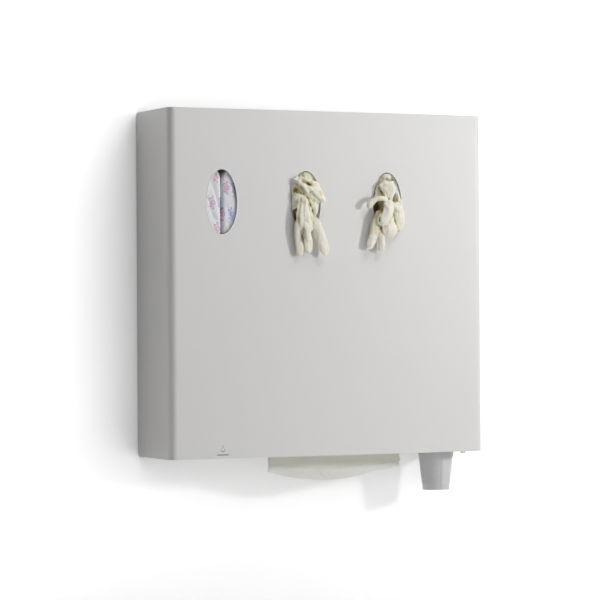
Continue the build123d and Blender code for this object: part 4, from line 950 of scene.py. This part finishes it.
def cupPlastic():
    # thin white polystyrene: satin, a little light passes, with one upright mould line
    material, tree, place = newMaterial("cup polystyrene")
    cloud = addNode(tree, "TexNoise", {"Scale": 1 / (7 * mm), "Detail": 2.0}, {"Vector": place})
    tone = addNode(tree, "Mix", {"data_type": "RGBA", 6: srgb("f1f1f2"), 7: srgb("eaeaec")},
                   {"Factor": cloud.outputs["Fac"]})
    seam = addNode(tree, "Attribute", {"attribute_name": "seam"})
    faint = addNode(tree, "Math", {"operation": "MULTIPLY", 1: 0.6}, {0: seam.outputs["Fac"]})
    marked = addNode(tree, "Mix", {"data_type": "RGBA", 7: srgb("cfcfd2")},
                     {"Factor": faint.outputs[0], 6: tone.outputs[2]})
    fine = addNode(tree, "TexNoise", {"Scale": 1 / (0.5 * mm), "Detail": 2.0}, {"Vector": place})
    settings = {"Roughness": 0.35, "IOR": 1.55, "Subsurface Weight": 0.3, "Subsurface Scale": 3 * mm,
                "Subsurface Radius": (1, 1, 1), "Transmission Weight": 0.12}
    finishSurface(tree, settings, marked.outputs[2], fine.outputs["Fac"], 0.01)
    return material


def ribbedCup(number):
    # a profile turned about the cup's axis: recessed floor, foot, stacking step, fine ribs, rolled rim
    height, foot, wall, columns = cup["height"], cup["foot"], cup["wall"], 88
    side = np.linspace(cup["pitch"], height - cup["rimHeight"], 200)
    slope = (cup["mouth"] - foot - cup["step"]) / (height - cup["pitch"])
    # the ribs fade out near the step and 13 mm below the rim
    ribbed = np.clip((side - cup["pitch"] - 1) / 2, 0, 1) * np.clip((height - 13 - side) / 2, 0, 1)
    ribs = cup["ribDepth"] * np.cos(2 * np.pi * side / cup["ribPitch"]) * ribbed
    radius = foot + cup["step"] + slope * (side - cup["pitch"]) - cup["ribDepth"] + ribs
    turn = np.linspace(-0.5 * np.pi, np.pi, 9)
    bead = (cup["rim"] - cup["mouth"] + wall) / 2
    rimRadius = cup["rim"] - bead + bead * np.cos(turn)
    rimHeight = height - cup["rimHeight"] / 2 + cup["rimHeight"] / 2 * np.sin(turn)
    r = np.r_[0.4, foot - 1.2, foot - 0.9, foot - 0.3, foot, foot, radius, rimRadius, radius[::-1] - wall,
              foot - wall, foot - wall, foot - 1.4, 0.4]
    z = np.r_[1.5, 1.5, 0, 0, 0.5, cup["pitch"] - wall, side, rimHeight, side[::-1],
              cup["pitch"], 2.6, 2.0, 2.0]
    angle = np.linspace(0, 2 * np.pi, columns, endpoint=False)
    r, z = r[:, None], z[:, None]
    points = np.stack([r * np.cos(angle), r * np.sin(angle), z.repeat(columns, 1)], -1)
    origin = np.array((*cup["axis"], cup["low"] + number * cup["pitch"]))
    points = np.vstack([points.reshape(-1, 3), [[0, 0, 1.5], [0, 0, 2.0]]]) + origin
    piece = closedTube(f"ribbed_cup_{number + 1}", points * mm, len(r), columns)
    seam = np.zeros(columns)
    seam[int(columns * cup["seamTurn"])] = 1
    pointAttribute(piece, "seam", np.r_[np.tile(seam, len(r)), 0, 0])
    return flipOutward(piece)


cupPaint = cupPlastic()
for number in range(cup["count"]):
    beaker = ribbedCup(number)
    beaker.data.materials.append(cupPaint)
    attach(beaker, "cabinet")
    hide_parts(f"cup_{number + 1}")
print("cups turned")


slotEdge = dict(halfWide=26.1, halfHigh=51.1, middleZ=-51.0, radius=0.62, flatness=0.6)


def slotOval(count):
    # points round a slot's oval in millimetres from its middle, and the outward direction at each
    turn = np.linspace(0, 2 * np.pi, count, endpoint=False)
    wide, high = slotEdge["halfWide"], slotEdge["halfHigh"]
    outward = np.stack([np.cos(turn) / wide, np.sin(turn) / high], 1)
    outward /= np.linalg.norm(outward, axis=1)[:, None]
    return np.stack([wide * np.cos(turn), high * np.sin(turn)], 1), outward


def slotPoints(rings, slotNumber):
    # from millimetres about a slot's middle on the cover's front to the frame
    middle = (cover["slotXs"][slotNumber], cover["frontY"], cover["slotTop"] + slotEdge["middleZ"] * mm)
    return rings.reshape(-1, 3) * mm + middle


# for each glove slot, its number and how far the board shows at its left and right; the folded profile of the
# board is outward from the slot's oval and back from the cover's front; all in millimetres
windows = {"glove_carton_middle": (1, 3.9, 3.6), "glove_carton_right": (2, 2.2, 6.2)}
windowEnds = 1.6                   # how far the board shows at the slot's upper and lower end
windowProfile = [(3.0, 5.1), (3.0, 1.9), (-1.0, 1.65), (-1.0, 2.05), (2.6, 2.3), (2.6, 5.1)]


def boardWindow(name, slotNumber, leftReach, rightReach):
    # the carton's opening, its edge bent out behind the slot: a folded profile carried round an ellipse
    oval, outward = slotOval(120)
    ends = 1 - np.abs(outward[:, 0]) ** 1.5
    inner = np.where(outward[:, 0] < 0, leftReach, rightReach) * (1 - ends) + windowEnds * ends
    ring = []
    for offset, back in windowProfile:
        # a profile point inside the oval moves in as far as the board shows
        reach = np.full(len(oval), offset) if offset > 0 else -inner
        edge = oval + reach[:, None] * outward
        ring.append(np.stack([edge[:, 0], np.full(len(oval), back), edge[:, 1]], 1))
    points = slotPoints(np.stack(ring, 1), slotNumber)
    return flipOutward(meshObject(name, points, hoopFaces(len(oval), len(windowProfile)), smooth=False))


def slotEdges():
    # the rounded lips of the three slots: a small flattened circle carried round an ellipse
    oval, outward = slotOval(160)
    roll = np.linspace(0, 2 * np.pi, 10, endpoint=False)
    radius = slotEdge["radius"]
    edge = oval[:, None] + radius * outward[:, None] * np.cos(roll)[:, None]
    y = (radius * np.sin(roll) * slotEdge["flatness"])[None].repeat(len(oval), 0)
    ring = np.stack([edge[..., 0], y, edge[..., 1]], -1)
    quads = hoopFaces(len(oval), len(roll))
    slots = range(len(cover["slotXs"]))
    points = np.vstack([slotPoints(ring, number) for number in slots])
    faces = np.vstack([quads + number * len(quads) for number in slots])
    return flipOutward(meshObject("slot_edges", points, faces))


for node, place in windows.items():
    window = boardWindow(node + "_window", *place)
    window.data.materials.append(board)
    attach(window, "cabinet")
print("board bent out")
lips = slotEdges()
# the lips are coloured whiter than the powder coat around them: a painted highlight along the slot edges
lips.data.materials.append(evenSurface("slot lip highlight coat", "f6f6f5", 0.35, moulded))
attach(lips, "cover")
print("slots edged")


mark = dict(x=-187.0, z=-256.5, height=11.0, width=0.36, line=0.8, proud=0.03,
            barLeft=-197.0, barRight=-177.0, barZ=-266.5, barHeight=1.5)


def frontMark():
    # a printed droplet outline and a short bar: flat shapes a hair proud of the coat
    turn = np.linspace(0, 2 * np.pi, 96, endpoint=False)
    # a drop: a circle whose top is drawn to a point by a power of the half angle's sine
    across = mark["height"] * mark["width"] * np.sin(turn) * np.sin(turn / 2) ** 1.6
    outline = np.stack([across, mark["height"] * 0.5 * np.cos(turn)], 1)
    inner = outline * (1 - 2.6 * mark["line"] / mark["height"])
    drop = np.vstack([outline, inner]) + (mark["x"], mark["z"])
    left, right = mark["barLeft"], mark["barRight"]
    bar = np.array([(left, -1), (right, -1), (right, 1), (left, 1)])
    bar = bar * (1, mark["barHeight"] / 2) + (0, mark["barZ"])
    flat = np.vstack([drop, bar])
    y = cover["frontY"] / mm - mark["proud"]
    points = np.stack([flat[:, 0], np.full(len(flat), y), flat[:, 1]], 1)
    count = len(turn)
    k = np.arange(count)
    ring = np.stack([k, (k + 1) % count, (k + 1) % count + count, k + count], 1)
    return meshObject("front_mark", points * mm, ring, [2 * count + np.arange(4)], smooth=False)


badge = frontMark()
badge.data.materials.append(evenSurface("mark ink", "6b6c6f", 0.6, moulded))
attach(badge, "cover")
print("mark printed")
